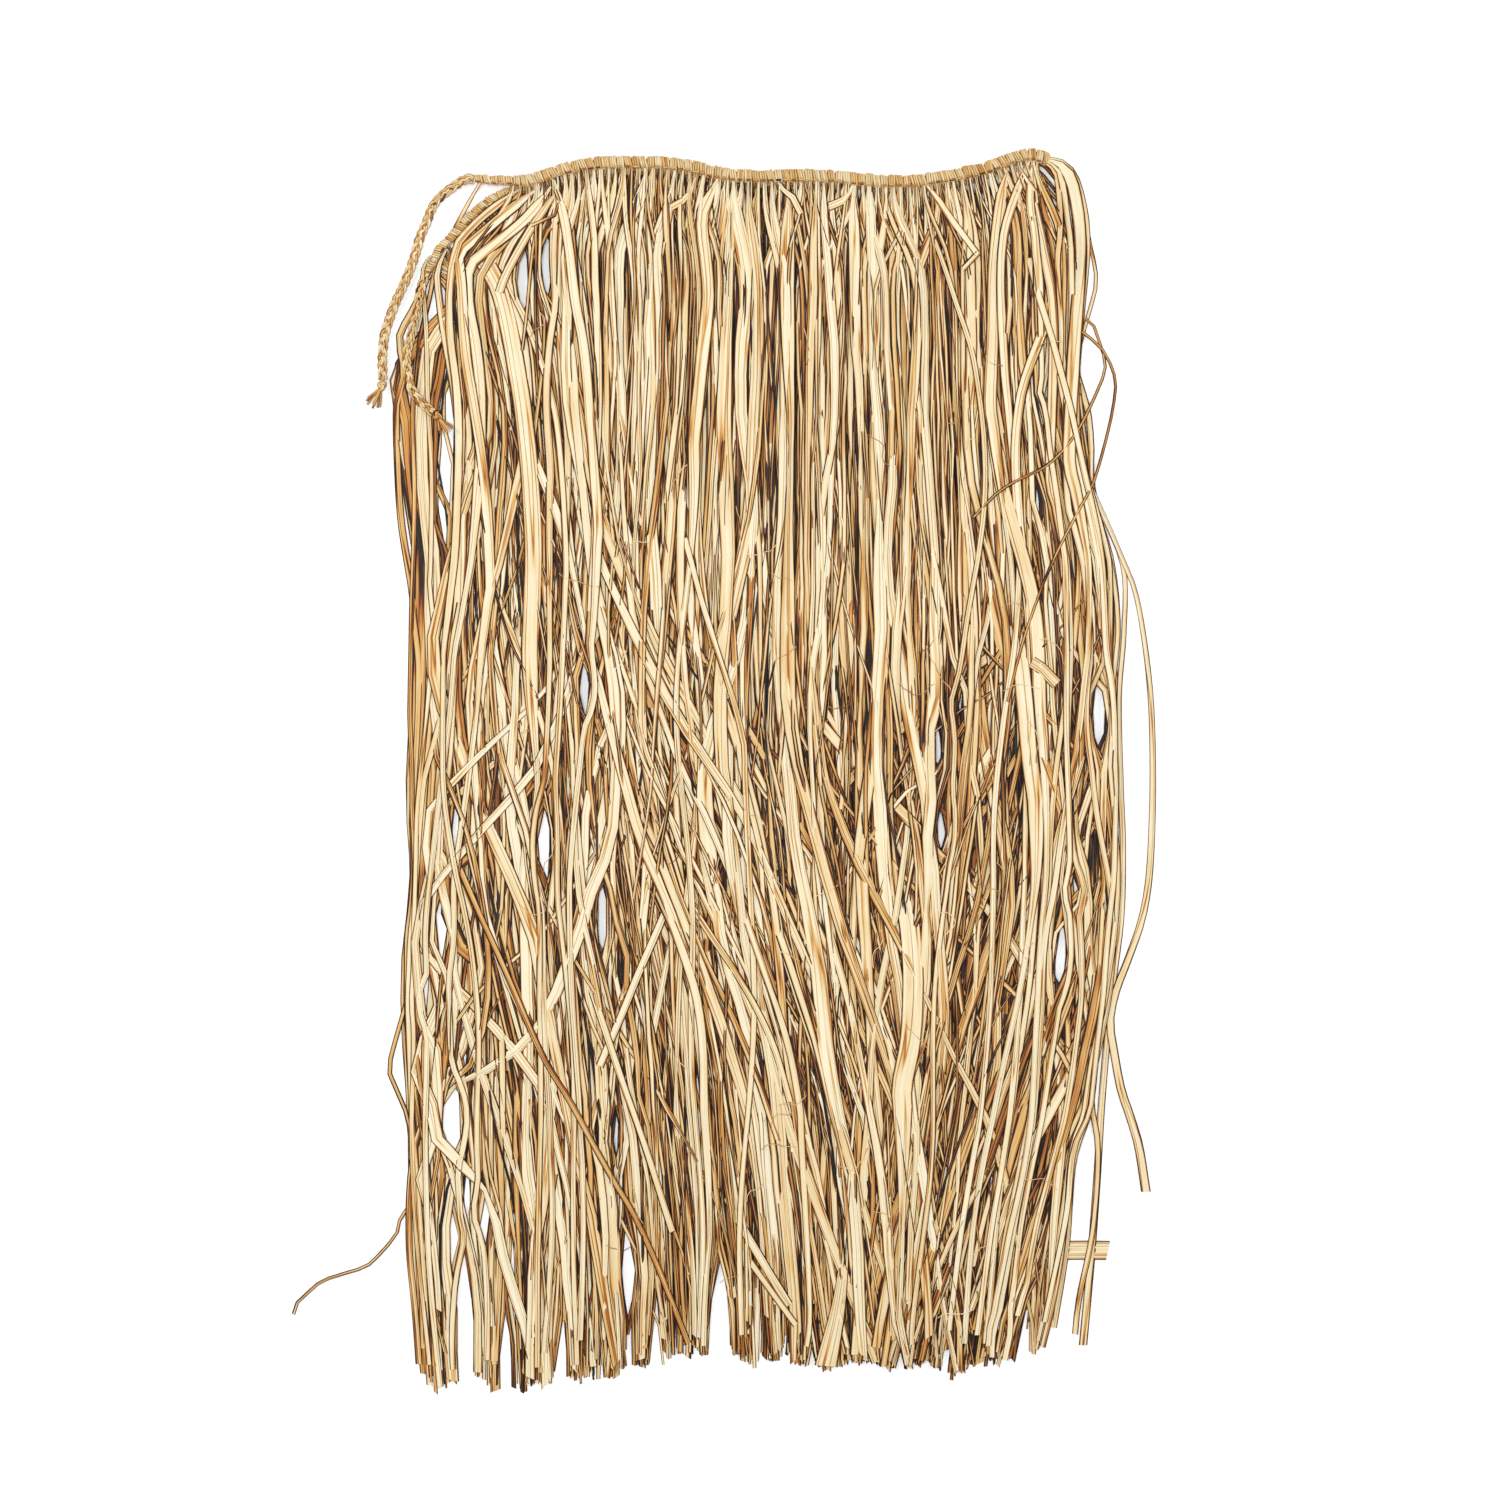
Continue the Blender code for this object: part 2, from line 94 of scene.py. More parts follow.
def addCamera(c):
    lens = bpy.data.cameras.new("camera")
    lens.lens = c["lens"]
    lens.sensor_width = c["sensor"]
    eye = bpy.data.objects.new("camera", lens)
    eye.location = inWorld(c["x"], c["drop"], c["height"] + c["wide"] * c["lens"] / c["sensor"])
    bpy.context.scene.collection.objects.link(eye)
    bpy.context.scene.camera = eye


addCamera(camera)
print("camera set")


class Bundle:
    # lengths of raffia kept as arrays until they are joined in one mesh

    def __init__(self):
        self.verts = []
        self.quads = []
        self.grain = []
        self.strand = []
        self.strips = []  # each strand's mean width and its length
        self.count = 0

    def add(self, outlines, across, along, tone, seed):
        # outlines: cross-sections x points x 3, the points going over the top and back below
        stations, corners, _ = outlines.shape
        index = self.count + np.arange(stations * corners).reshape(stations, corners)
        here = index[:-1]
        after = index[1:]
        sides = np.stack([here, np.roll(here, -1, 1), np.roll(after, -1, 1), after], -1)
        j = np.arange(corners // 2 - 1)
        first = index[0]
        last = index[-1]
        startCap = np.stack([first[j + 1], first[j], first[corners - 1 - j], first[corners - 2 - j]], -1)
        endCap = np.stack([last[j], last[j + 1], last[corners - 2 - j], last[corners - 1 - j]], -1)
        self.quads += [sides.reshape(-1, 4), startCap, endCap]
        self.verts.append(outlines.reshape(-1, 3))
        share = np.broadcast_to(across, (stations, corners))
        length = np.broadcast_to(along[:, None], (stations, corners))
        self.grain.append(np.stack([share, length], -1).reshape(-1, 2))
        edge = np.abs(across).max() - np.abs(share)
        ones = np.ones((stations, corners))
        tones = np.broadcast_to(tone, (stations, 1)) if np.ndim(tone) == 0 else np.reshape(tone, (-1, 1))
        self.strand.append(np.stack([tones * ones, seed * ones, edge, ones], -1).reshape(-1, 4))
        self.count += stations * corners

    def paintCreviceShade(self, brim):
        # painted shade: what lies well below the strands around it is in a crevice, and its tone is moved
        # towards dark brown to stand in for the crevice's shade
        verts = np.concatenate(self.verts)
        row, column = pile.cells(verts[:, 0], verts[:, 1])
        depth = brim[row, column] * squeeze - verts[:, 2]
        strand = np.concatenate(self.strand)
        strand[:, 0] += creviceShade["dark"] * smooth((depth - creviceShade["start"]) / creviceShade["over"])
        self.strand = [strand]

    def joined(self, name, material, slot, sharp=42.0):
        verts = np.concatenate(self.verts) * mm
        quads = np.concatenate(self.quads)
        mesh = bpy.data.meshes.new(name)
        mesh.vertices.add(len(verts))
        mesh.vertices.foreach_set("co", verts.astype(np.float32).ravel())
        mesh.loops.add(quads.size)
        mesh.loops.foreach_set("vertex_index", quads.astype(np.int32).ravel())
        mesh.polygons.add(len(quads))
        mesh.polygons.foreach_set("loop_start", np.arange(0, quads.size, 4, dtype=np.int32))
        mesh.update(calc_edges=True)
        grain = np.concatenate(self.grain)[quads.ravel()]
        mesh.uv_layers.new(name="grain").uv.foreach_set("vector", (grain / 10).astype(np.float32).ravel())
        strand = mesh.color_attributes.new("strand", "FLOAT_COLOR", "POINT")
        strand.data.foreach_set("color", np.concatenate(self.strand).astype(np.float32).ravel())
        mesh.shade_smooth()
        mesh.set_sharp_from_angle(angle=math.radians(sharp))
        mesh.materials.append(material)
        piece = bpy.data.objects.new(name, mesh)
        bpy.context.scene.collection.objects.link(piece)
        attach(piece, "root")
        print(name, "made with", 2 * len(quads), "triangles")
        return piece


class Wire:
    # one socket of a material's nodes, which adds and multiplies like a number

    def __init__(self, tree, socket=None):
        self.tree = tree
        self.socket = socket

    def node(self, kind, links=(), stops=None, out=0, **settings):
        made = self.tree.nodes.new(kind)
        for name, value in settings.items():
            setattr(made, name, value)
        if stops:
            ramp = made.color_ramp
            ramp.elements[0].position = stops[0][0]
            ramp.elements[0].color = (*stops[0][1], 1)
            ramp.elements[1].position = stops[-1][0]
            ramp.elements[1].color = (*stops[-1][1], 1)
            for at, colour in stops[1:-1]:
                ramp.elements.new(at).color = (*colour, 1)
        for name, value in dict(links).items():
            if isinstance(value, Wire):
                self.tree.links.new(value.socket, made.inputs[name])
            else:
                made.inputs[name].default_value = value
        return Wire(self.tree, made.outputs[out])

    def maths(self, operation, a, b):
        return self.node("ShaderNodeMath", {0: a, 1: b}, operation=operation)

    def __add__(self, other):
        return self.maths("ADD", self, other)

    def __radd__(self, other):
        return self.maths("ADD", other, self)

    def __sub__(self, other):
        return self.maths("SUBTRACT", self, other)

    def __rsub__(self, other):
        return self.maths("SUBTRACT", other, self)

    def __mul__(self, other):
        return self.maths("MULTIPLY", self, other)

    def __rmul__(self, other):
        return self.maths("MULTIPLY", other, self)


# Raffia: pale straw to orange and brown along the grain, with fine fibres; the darker edges are partly
# browner leaf and partly painted shadow, and the dark brown to black end of the ramp serves the painted shade
# at edges, creases and crevices

raffiaLook = {
    "ramp": [
        (0.00, (0.77, 0.69, 0.50)),
        (0.22, (0.71, 0.58, 0.35)),
        (0.42, (0.63, 0.40, 0.14)),
        (0.58, (0.48, 0.20, 0.04)),
        (0.74, (0.30, 0.09, 0.012)),
        (0.88, (0.10, 0.024, 0.003)),
        (1.00, (0.010, 0.005, 0.003)),
    ],
    "fibre": 0.34,  # how much each pattern moves the tone
    "streak": 0.62,
    "patch": 0.30,
    "edge": 1.65,
    "rimBrownAndShade": 1.2,  # width in mm of the darker edge: a browner rim with painted shadow along it
    "crease": 0.52,
    "roughness": 0.50,
    "gloss": 0.2,
    "bump": 0.7,
}
plaitLook = {**raffiaLook, "edge": 0.8, "rimBrownAndShade": 0.6}
cordLook = {**raffiaLook, "edge": 0.55, "rimBrownAndShade": 1.15, "crease": 0.2, "streak": 0.3, "fibre": 0.2}


def raffiaMaterial(name, look, darker=0.0):
    material = bpy.data.materials.new(name)
    material.use_nodes = True
    tree = material.node_tree
    shader = tree.nodes["Principled BSDF"]
    net = Wire(tree)
    grain = net.node("ShaderNodeUVMap", uv_map="grain")
    across = net.node("ShaderNodeSeparateXYZ", {0: grain}, out=0)
    along = net.node("ShaderNodeSeparateXYZ", {0: grain}, out=1)
    strand = net.node("ShaderNodeVertexColor", layer_name="strand")
    tone = net.node("ShaderNodeSeparateColor", {0: strand}, out=0)
    seed = net.node("ShaderNodeSeparateColor", {0: strand}, out=1)
    edge = net.node("ShaderNodeSeparateColor", {0: strand}, out=2)

    def pattern(perCmAcross, perCmAlong, shift, detail):
        place = net.node("ShaderNodeCombineXYZ",
                         {0: across * perCmAcross, 1: along * perCmAlong, 2: seed * shift})
        return net.node("ShaderNodeTexNoise", {"Vector": place, "Scale": 1.0, "Detail": detail})

    fibre = pattern(26.0, 0.5, 61.0, 2.0)
    streak = pattern(7.0, 0.10, 113.0, 1.0)
    patch = pattern(1.2, 0.30, 171.0, 2.0)
    ripple = pattern(3.0, 22.0, 37.0, 1.0)
    folds = pattern(4.2, 0.05, 91.0, 0.0)
    nearFold = net.node("ShaderNodeMath", {0: folds - 0.5}, operation="ABSOLUTE")
    crease = net.node("ShaderNodeMapRange", {"Value": nearFold, "From Min": 0.05, "From Max": 0.0})
    # partly painted shade: the strand's edges darken towards black, partly as the browner edge of the leaf
    # and partly as painted shadow in the gaps between strands
    rimBrownAndShade = net.node("ShaderNodeMapRange", {"Value": edge, "From Min": look["rimBrownAndShade"], "From Max": 0.0})
    shade = tone + darker + (fibre - 0.5) * look["fibre"] + (streak - 0.5) * look["streak"]
    shade = shade + (patch - 0.5) * look["patch"] + rimBrownAndShade * rimBrownAndShade * (patch + 0.5) * look["edge"]
    # painted shadow: a thin dark line along each fold, in the colour as well as in the bump
    shade = shade + crease * (fibre + 0.5) * look["crease"]
    colour = net.node("ShaderNodeValToRGB", {0: shade}, stops=look["ramp"])
    tree.links.new(colour.socket, shader.inputs["Base Color"])
    rough = (fibre - 0.5) * 0.25 + look["roughness"]
    tree.links.new(rough.socket, shader.inputs["Roughness"])
    shader.inputs["Specular IOR Level"].default_value = look["gloss"]
    relief = fibre + ripple * 0.25 + streak * 0.6 - crease
    bump = net.node("ShaderNodeBump", {"Strength": look["bump"], "Distance": 0.0004, "Height": relief})
    tree.links.new(bump.socket, shader.inputs["Normal"])
    return material


# the back material is a shade darker than the front: painted shade for the half that lies underneath
materials = {
    "raffia_front": raffiaMaterial("raffia_front", raffiaLook, -0.04),
    "raffia_back": raffiaMaterial("raffia_back", raffiaLook, 0.01),
    "raffia_loose": raffiaMaterial("raffia_loose", raffiaLook, -0.02),
    "waist_cord": raffiaMaterial("waist_cord", cordLook),
    "plait": raffiaMaterial("plait", plaitLook, 0.04),
}
print("materials made")


# Plaited ties

tie = {"wide": 5.5, "pitch": 15.0, "strandWide": 3.1, "strandThick": 1.9, "step": 0.9}
# from the waist cord's ends to the knots: x, drop, height of the middle
tieFrontRoute = [
    (-161.1, 20.9, 7.3), (-165, 20.6, 7.0), (-170, 22.4, 6.2), (-176, 26.5, 4.8), (-184, 32.5, 3.4),
    (-189, 40, 2.9), (-192, 48, 2.8), (-196, 57, 2.8), (-199, 67, 2.8), (-203, 79, 2.8),
    (-208, 91, 2.8), (-213, 102, 2.8), (-217, 113, 2.8), (-220, 124, 2.8), (-221, 136, 2.8),
    (-220.8, 151, 2.8),
]
tieBackRoute = [
    (-191, 81.5, 2.8), (-194.2, 87, 3.3), (-196, 93, 4.8), (-197.2, 101, 6.9), (-198.5, 110, 7.7),
    (-201, 121, 7.7), (-204, 132, 7.7), (-204.5, 142, 7.7), (-203, 152, 7.7), (-200, 160, 7.7),
    (-195, 166.5, 7.7), (-187.5, 172.5, 7.7),
]
# each knot's middle, the way its tuft runs and the tuft's length
knotFront = {"middle": (-221.2, 154.8, 3.4), "way": (-6, 11), "tuft": 14.0}
knotBack = {"middle": (-184.6, 174.9, 8.3), "way": (7, 13), "tuft": 11.0}
knot = {"wide": 3.3, "cord": 2.7, "steps": 60, "tuftStrands": 11, "spread": 44.0}


def worldLine(route, step):
    # a smooth line in millimetres with Y up the skirt
    line = curveThrough(route, step)
    line[:, 1] = topEdge - line[:, 1]
    return line


def frameAlong(line):
    # at each point, the way ahead, the way to the right and the way up
    ahead = np.gradient(line, axis=0)
    ahead /= np.linalg.norm(ahead, axis=1, keepdims=True)
    right = np.stack([ahead[:, 1], -ahead[:, 0], np.zeros(len(line))], 1)
    right /= np.maximum(1e-9, np.linalg.norm(right, axis=1, keepdims=True))
    return ahead, right, np.cross(right, ahead)


def tubeOutline(line, wide, thick, corners=8):
    # an oval outline round each point, going over the top from left to right and back below
    _, right, up = frameAlong(line)
    angle = math.pi - (np.arange(corners) + 0.5) * 2 * math.pi / corners
    side = np.cos(angle)[None, :, None] * (wide / 2)[:, None, None]
    rise = np.sin(angle)[None, :, None] * (thick / 2)[:, None, None]
    return line[:, None, :] + right[:, None, :] * side + up[:, None, :] * rise


def roundAcross(corners, wide):
    angle = math.pi - (np.arange(corners) + 0.5) * 2 * math.pi / corners
    return np.cos(angle) * wide / 2


def plait(bundle, route, rng):
    line = worldLine(route, tie["step"])
    _, right, up = frameAlong(line)
    gone = np.arange(len(line)) * tie["step"]
    reach = (tie["wide"] - tie["strandWide"] * 0.85) / 2
    for k in range(3):
        phase = 2 * math.pi * (gone / tie["pitch"] + k / 3)
        swing = np.sin(phase) * reach
        rise = np.sin(2 * phase) * tie["strandThick"] * 0.42
        middle = line + right * swing[:, None] + up * rise[:, None]
        for half in (-0.28, 0.28):  # each of the three is a doubled strip
            own = middle + right * (half * tie["strandWide"]) + up * rng.uniform(-0.15, 0.15)
            wide = tie["strandWide"] * (0.62 + 0.08 * np.sin(gone / 9 + k + 3 * half))
            outline = tubeOutline(own, wide, np.full(len(line), tie["strandThick"] * 0.8))
            tone = rng.uniform(0.15, 0.42) + 0.06 * np.sin(gone / 14 + k)
            bundle.add(outline, roundAcross(8, tie["strandWide"]), gone, tone, rng.random())


def knotOn(bundle, k, rng):
    # an overhand knot, its cord wound as a trefoil, and the cut tuft that comes out of it
    middle = np.array([k["middle"][0], topEdge - k["middle"][1], k["middle"][2]])
    way = np.array([k["way"][0], -k["way"][1], 0.0])
    way /= np.linalg.norm(way)
    beside = np.array([-way[1], way[0], 0.0])
    turn = np.linspace(0, 2 * math.pi, knot["steps"] + 1)
    size = knot["wide"] / 3.0
    x = (np.sin(turn) + 2 * np.sin(2 * turn)) * size * 0.72
    y = (np.cos(turn) - 2 * np.cos(2 * turn)) * size * 0.62
    z = -np.sin(3 * turn) * size * 0.75
    line = middle + way * x[:, None] + beside * y[:, None] + np.array([0, 0, 1.0]) * z[:, None]
    outline = tubeOutline(line, np.full(len(line), knot["cord"]), np.full(len(line), knot["cord"] * 0.85))
    bundle.add(outline, roundAcross(8, knot["cord"]), turn * 6, rng.uniform(0.25, 0.4), rng.random())
    for n in range(knot["tuftStrands"]):
        place = (n + 0.5) / knot["tuftStrands"] - 0.5
        lean = math.radians(knot["spread"]) * place + rng.uniform(-0.08, 0.08)
        out = way * math.cos(lean) + beside * math.sin(lean)
        reach = k["tuft"] * rng.uniform(0.7, 1.05)
        start = middle + out * knot["wide"] * 0.4
        lift = rng.uniform(-0.9, 0.9)
        t = np.linspace(0, 1, 9)[:, None]
        line = start + out * reach * t + np.array([0, 0, 1.0]) * (lift * t * t)
        line = line + beside * rng.uniform(-1, 1) * t * t
        line[:, 2] = np.maximum(line[:, 2], 0.5)
        wide = 0.9 + 0.7 * t[:, 0] * rng.uniform(0.4, 1.2)
        outline = tubeOutline(line, wide, np.full(9, 0.45))
        bundle.add(outline, roundAcross(8, 1.4), t[:, 0] * reach, rng.uniform(0.2, 0.5), rng.random())


def makeTie(name, route, ownKnot, seed):
    rng = random.Random(seed)
    braid = Bundle()
    plait(braid, route, rng)
    cord = braid.joined("tie_" + name + "_plait", materials["plait"], "plait")
    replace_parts(cord, "tie_" + name)
    end = Bundle()
    knotOn(end, ownKnot, rng)
    tail = end.joined("knot_" + name + "_tied", materials["plait"], "plait")
    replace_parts(tail, "knot_" + name)
    line = worldLine(route, 2.0) * mm


makeTie("front", tieFrontRoute, knotFront, 21)
makeTie("back", tieBackRoute, knotBack, 22)


# Hitched waist cord

band = {"high": 7.5, "slim": 5.2, "slimUntil": -134.0, "hitch": 4.9, "frontThick": 5.0, "backThick": 4.5,
        "frontBottom": 4.8, "backBottom": 0.75, "turns": (-1.52, 0.0, 1.52), "turnWide": 1.7, "lean": 0.7,
        "steps": 12}
# the cord's middle line: x, drop
frontBand = [
    (-160, 21), (-138, 22), (-128, 22.5), (-119, 20), (-104, 15), (-80, 10.5), (-53, 10), (-37, 10.5),
    (-18, 13), (-3, 17), (19, 19), (45, 18.5), (69, 19), (89, 21), (117, 22.5), (145, 19.5),
    (173, 13.5), (186, 8.5), (201, 4.8), (209, 7),
]
backBand = [
    (-191, 80.5), (-189, 77), (-185, 68), (-175, 57), (-165, 46), (-156, 38), (-148, 32), (-134, 27),
    (-115, 23), (-95, 18), (-53, 13), (-18, 16), (19, 21), (69, 21.5), (117, 24.5), (145, 22), (173, 16),
    (187, 9.5), (201, 5.4), (209, 7.6),
]


def hitch(bundle, middle, along, down, up, thick, high, rng):
    # a strand doubled over the cord: its turns wrapped round it, held by a short loop at its lower edge
    tone = rng.uniform(0.06, 0.26)
    corners = np.array([(-1, -0.3), (-0.6, 0.8), (0.6, 0.8), (1, -0.3), (0.6, -1.0), (-0.6, -1.0)])
    turn = np.linspace(0, 2 * math.pi, band["steps"])
    lean = band["lean"] + rng.uniform(-0.7, 0.5)
    out = np.stack([np.cos(turn), np.sin(turn)], 1)
    for shift in band["turns"]:
        size = rng.uniform(0.90, 1.10)
        wide = band["turnWide"] * rng.uniform(0.86, 1.15)
        ring = out * (high / 2 * size, thick / 2 * size)
        rows = []
        for (d, u), (od, ou) in zip(ring, out):
            base = middle + along * (shift + lean * d / high * 2) + down * d + up * u
            rows.append([base + along * (a * wide / 2) + (down * od + up * ou) * (b * 0.62)
                         for a, b in corners])
        bundle.add(np.array(rows), corners[:, 0] * wide, turn * 3, tone + rng.uniform(-0.04, 0.12),
                   rng.random())
    low = middle + down * (high / 2 * 0.82) + up * (thick / 2 * 0.66)
    t = np.linspace(-1, 1, 7)[:, None]
    line = low + along * (1.9 * t + rng.uniform(-0.3, 0.3)) + up * (1 - t * t) * 0.7 - down * (t * t) * 0.6
    wide = rng.uniform(1.2, 1.9) * np.sqrt(np.clip(1.15 - t[:, 0] ** 2, 0.1, 1))
    outline = tubeOutline(line, wide, wide * 0.75, 6)
    bundle.add(outline, roundAcross(6, 1.7), t[:, 0] * 2, tone + rng.uniform(0.0, 0.4), rng.random())


def hitchedCord(name, line, thick, bottom, seed):
    rng = random.Random(seed)
    bundle = Bundle()
    points = worldLine([(x, drop, bottom + thick / 2) for x, drop in line], band["hitch"])
    ahead, right, _ = frameAlong(points)
    for k in range(len(points) - 1):
        middle = (points[k] + points[k + 1]) / 2 + right[k] * rng.uniform(-0.3, 0.3)
        high = band["slim"] if middle[0] < band["slimUntil"] else band["high"]
        hitch(bundle, middle, ahead[k], right[k], np.array([0, 0, 1.0]), thick,
              high * rng.uniform(0.95, 1.05), rng)
    core = worldLine([(x, drop, bottom + thick / 2) for x, drop in line], 4.0)
    outline = tubeOutline(core, np.full(len(core), band["slim"] - 1.0), np.full(len(core), thick - 1.4))
    bundle.add(outline, roundAcross(8, 5), np.arange(len(core)) * 4.0, 0.5, rng.random())
    return bundle.joined(name, materials["waist_cord"], "waist_cord")


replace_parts(hitchedCord("waist_front_hitches", frontBand, band["frontThick"], band["frontBottom"], 31),
            "waistband_front")
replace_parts(hitchedCord("waist_back_hitches", backBand, band["backThick"], band["backBottom"], 32),
            "waistband_back")


def foldedEnd(name, seed):
    # the cord turns under at the right and becomes the back run
    rng = random.Random(seed)
    bundle = Bundle()
    high = band["frontBottom"] + band["frontThick"] / 2
    low = band["backBottom"] + band["backThick"] / 2
    radius = (high - low) / 2
    end = np.array([frontBand[-1][0], topEdge - frontBand[-1][1], (high + low) / 2])
    last = np.array([frontBand[-2][0], topEdge - frontBand[-2][1], (high + low) / 2])
    heading = (end - last) / np.linalg.norm(end - last)
    down = np.array([heading[1], -heading[0], 0.0])
    for k in range(3):
        angle = math.pi * (k + 0.5) / 3
        out = heading * math.sin(angle) + np.array([0, 0, math.cos(angle)])
        along = heading * math.cos(angle) - np.array([0, 0, math.sin(angle)])
        hitch(bundle, end + out * radius * 0.9, along, down, out, 4.2, band["high"], rng)
    return bundle.joined(name, materials["waist_cord"], "waist_cord")


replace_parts(foldedEnd("waist_fold_hitches", 33), "waistband_fold")


# The strands, laid one after another on a pile that remembers how high it is

class Pile:
    def __init__(self):
        self.lowX = -330.0
        self.lowY = -430.0
        self.stepX = 1.0
        self.stepY = 2.0
        self.high = np.zeros((430, 660))

    def cells(self, x, y):
        row = np.clip(((y - self.lowY) / self.stepY).astype(int), 0, self.high.shape[0] - 1)
        column = np.clip(((x - self.lowX) / self.stepX).astype(int), 0, self.high.shape[1] - 1)
        return row, column

    def under(self, x, y):
        return self.high[self.cells(x, y)]

    def cover(self, x, y, z):
        np.maximum.at(self.high, self.cells(x, y), z)

    def brim(self, reach):
        # how high the pile stands on both sides of each place: the lower of its two sides
        tall = np.max([np.roll(self.high, k, 0) for k in (-1, 0, 1)], axis=0)
        left, right = [np.max([np.roll(tall, way * k, 1) for k in range(1, reach + 1)], axis=0)
                       for way in (1, -1)]
        return np.maximum(tall, np.minimum(left, right))


pile = Pile()
squeeze = 0.75  # the whole pile is pressed to this share of its height
lay = {"step": 2.0, "thick": 0.30, "bridge": 8, "ease": 6, "sink": 0.6, "rise": 0.5, "crease": 0.24,
       "gap": 0.06, "tiltMost": 0.45, "freeBy": 34.0, "dipFor": 35, "diveBy": 60, "lowest": 0.02}


def envelope(values, reach, ease):
    # a smooth line that passes over the values
    padded = np.pad(values, reach, mode="edge")
    tall = np.max(np.lib.stride_tricks.sliding_window_view(padded, 2 * reach + 1), axis=1)
    kernel = np.hanning(2 * ease + 3)[1:-1]
    kernel /= kernel.sum()
    return np.convolve(np.pad(tall, ease, mode="edge"), kernel, mode="valid")


def settled(below):
    # a limp strip sinks part of the way between the highest and the average of what is under it
    tall = envelope(below.max(1), lay["bridge"] // 2, lay["ease"])
    usual = envelope(below.mean(1), 1, lay["ease"])
    return tall * (1 - lay["sink"]) + usual * lay["sink"]


def layStrand(bundle, path, wide, curl, tone, rng, rootHeight=None, points=5, station=24.0, dive=0.0,
              dip=0.0, ragged=0.5):
    # path: (x, drop); wide, curl and tone: functions of the distance from the root
    line = evenly(np.array([(x, topEdge - drop) for x, drop in path]), lay["step"])
    n = len(line)
    gone = np.arange(n) * lay["step"]
    ahead = np.gradient(line, axis=0)
    ahead /= np.maximum(1e-9, np.linalg.norm(ahead, axis=1, keepdims=True))
    right = np.stack([ahead[:, 1], -ahead[:, 0]], 1)
    flat = wide(gone)
    bend = curl(gone)
    tight = np.maximum(np.abs(bend), 0.05)
    radius = flat / tight
    half = radius * np.sin(np.minimum(tight / 2, math.pi / 2))
    spots = np.linspace(-0.85, 0.85, 7)
    atX = line[:, :1] + right[:, :1] * half[:, None] * spots
    atY = line[:, 1:] + right[:, 1:] * half[:, None] * spots
    below = pile.under(atX, atY)
    leftSide = settled(below[:, :4])
    rightSide = settled(below[:, 3:])
    most = lay["tiltMost"] * half
    tilt = np.clip((rightSide - leftSide) / 2, -most, most)
    height = (leftSide + rightSide) / 2 + lay["gap"]
    weave = sum(np.sin(gone / rng.uniform(low, high) + rng.uniform(0, 6))
                for low, high in ((30, 60), (14, 24)))
    height = height + dive * (weave / 2 - 0.25) * smooth(gone / lay["diveBy"])
    height = height - dip * (1 - smooth(gone / lay["dipFor"]))
    if rootHeight is not None:
        free = smooth(gone / lay["freeBy"])
        height = rootHeight * (1 - free) + height * free
        tilt = tilt * free

    def profile(spot, at):
        # across and up, for a share of the width and a place along
        angle = tight[at][:, None] * spot / 2
        side = radius[at][:, None] * np.sin(angle)
        rise = radius[at][:, None] * (1 - np.cos(angle)) * lay["rise"]
        deepest = radius[at] * (1 - np.cos(tight[at] / 2)) * lay["rise"]
        over = (bend[at] < 0)[:, None]
        return side, np.where(over, deepest[:, None] - rise, rise)

    every = np.arange(n)
    side, rise = profile(np.linspace(-1, 1, 9), every)
    pile.cover(line[:, :1] + right[:, :1] * side, line[:, 1:] + right[:, 1:] * side,
               height[:, None] + rise * 0.6 + tilt[:, None] * np.linspace(-1, 1, 9) + lay["thick"] * 0.8)

    near = [0.0]
    while near[-1] < gone[-1] - station * 0.6:
        stride = min(station, 5.0 + near[-1] * 0.16) if rootHeight is not None else station
        near.append(near[-1] + stride)
    near[-1] = gone[-1]
    at = np.unique(np.clip(np.round(np.array(near) / lay["step"]).astype(int), 0, n - 1))
    share = np.linspace(-1, 1, points)
    side, rise = profile(share, at)
    crease = np.array([rng.uniform(-1, 1) for _ in range(points)]) * lay["crease"]
    rise = rise + crease * np.minimum(1.0, flat[at] / 4)[:, None]
    angle = np.where(bend[at] < 0, -1, 1)[:, None] * tight[at][:, None] * share / 2
    rise = rise + tilt[at][:, None] * share
    slant = rng.uniform(-ragged, ragged) * flat[at[-1]]
    top = np.empty((len(at), points, 3))
    top[:, :, 0] = line[at, 0][:, None] + right[at, 0][:, None] * side
    top[:, :, 1] = line[at, 1][:, None] + right[at, 1][:, None] * side
    top[:, :, 2] = height[at][:, None] + rise
    top[-1, :, 0] += ahead[at[-1], 0] * slant * share
    top[-1, :, 1] += ahead[at[-1], 1] * slant * share
    lower = top.copy()
    top[:, :, 0] -= right[at, 0][:, None] * np.sin(angle) * lay["thick"] * 0.5
    top[:, :, 1] -= right[at, 1][:, None] * np.sin(angle) * lay["thick"] * 0.5
    top[:, :, 2] += lay["thick"] * np.maximum(0.35, np.cos(angle))
    outline = np.concatenate([top, lower[:, ::-1]], 1)
    outline[:, :, 2] = np.maximum(outline[:, :, 2], lay["lowest"]) * squeeze
    outline[:, points:, 2] -= 0.01
    across = np.concatenate([share, share[::-1]]) * flat.mean() / 2
    bundle.add(outline, across, gone[at], tone(gone[at]), rng.random())
    bundle.strips.append((flat.mean(), gone[-1]))


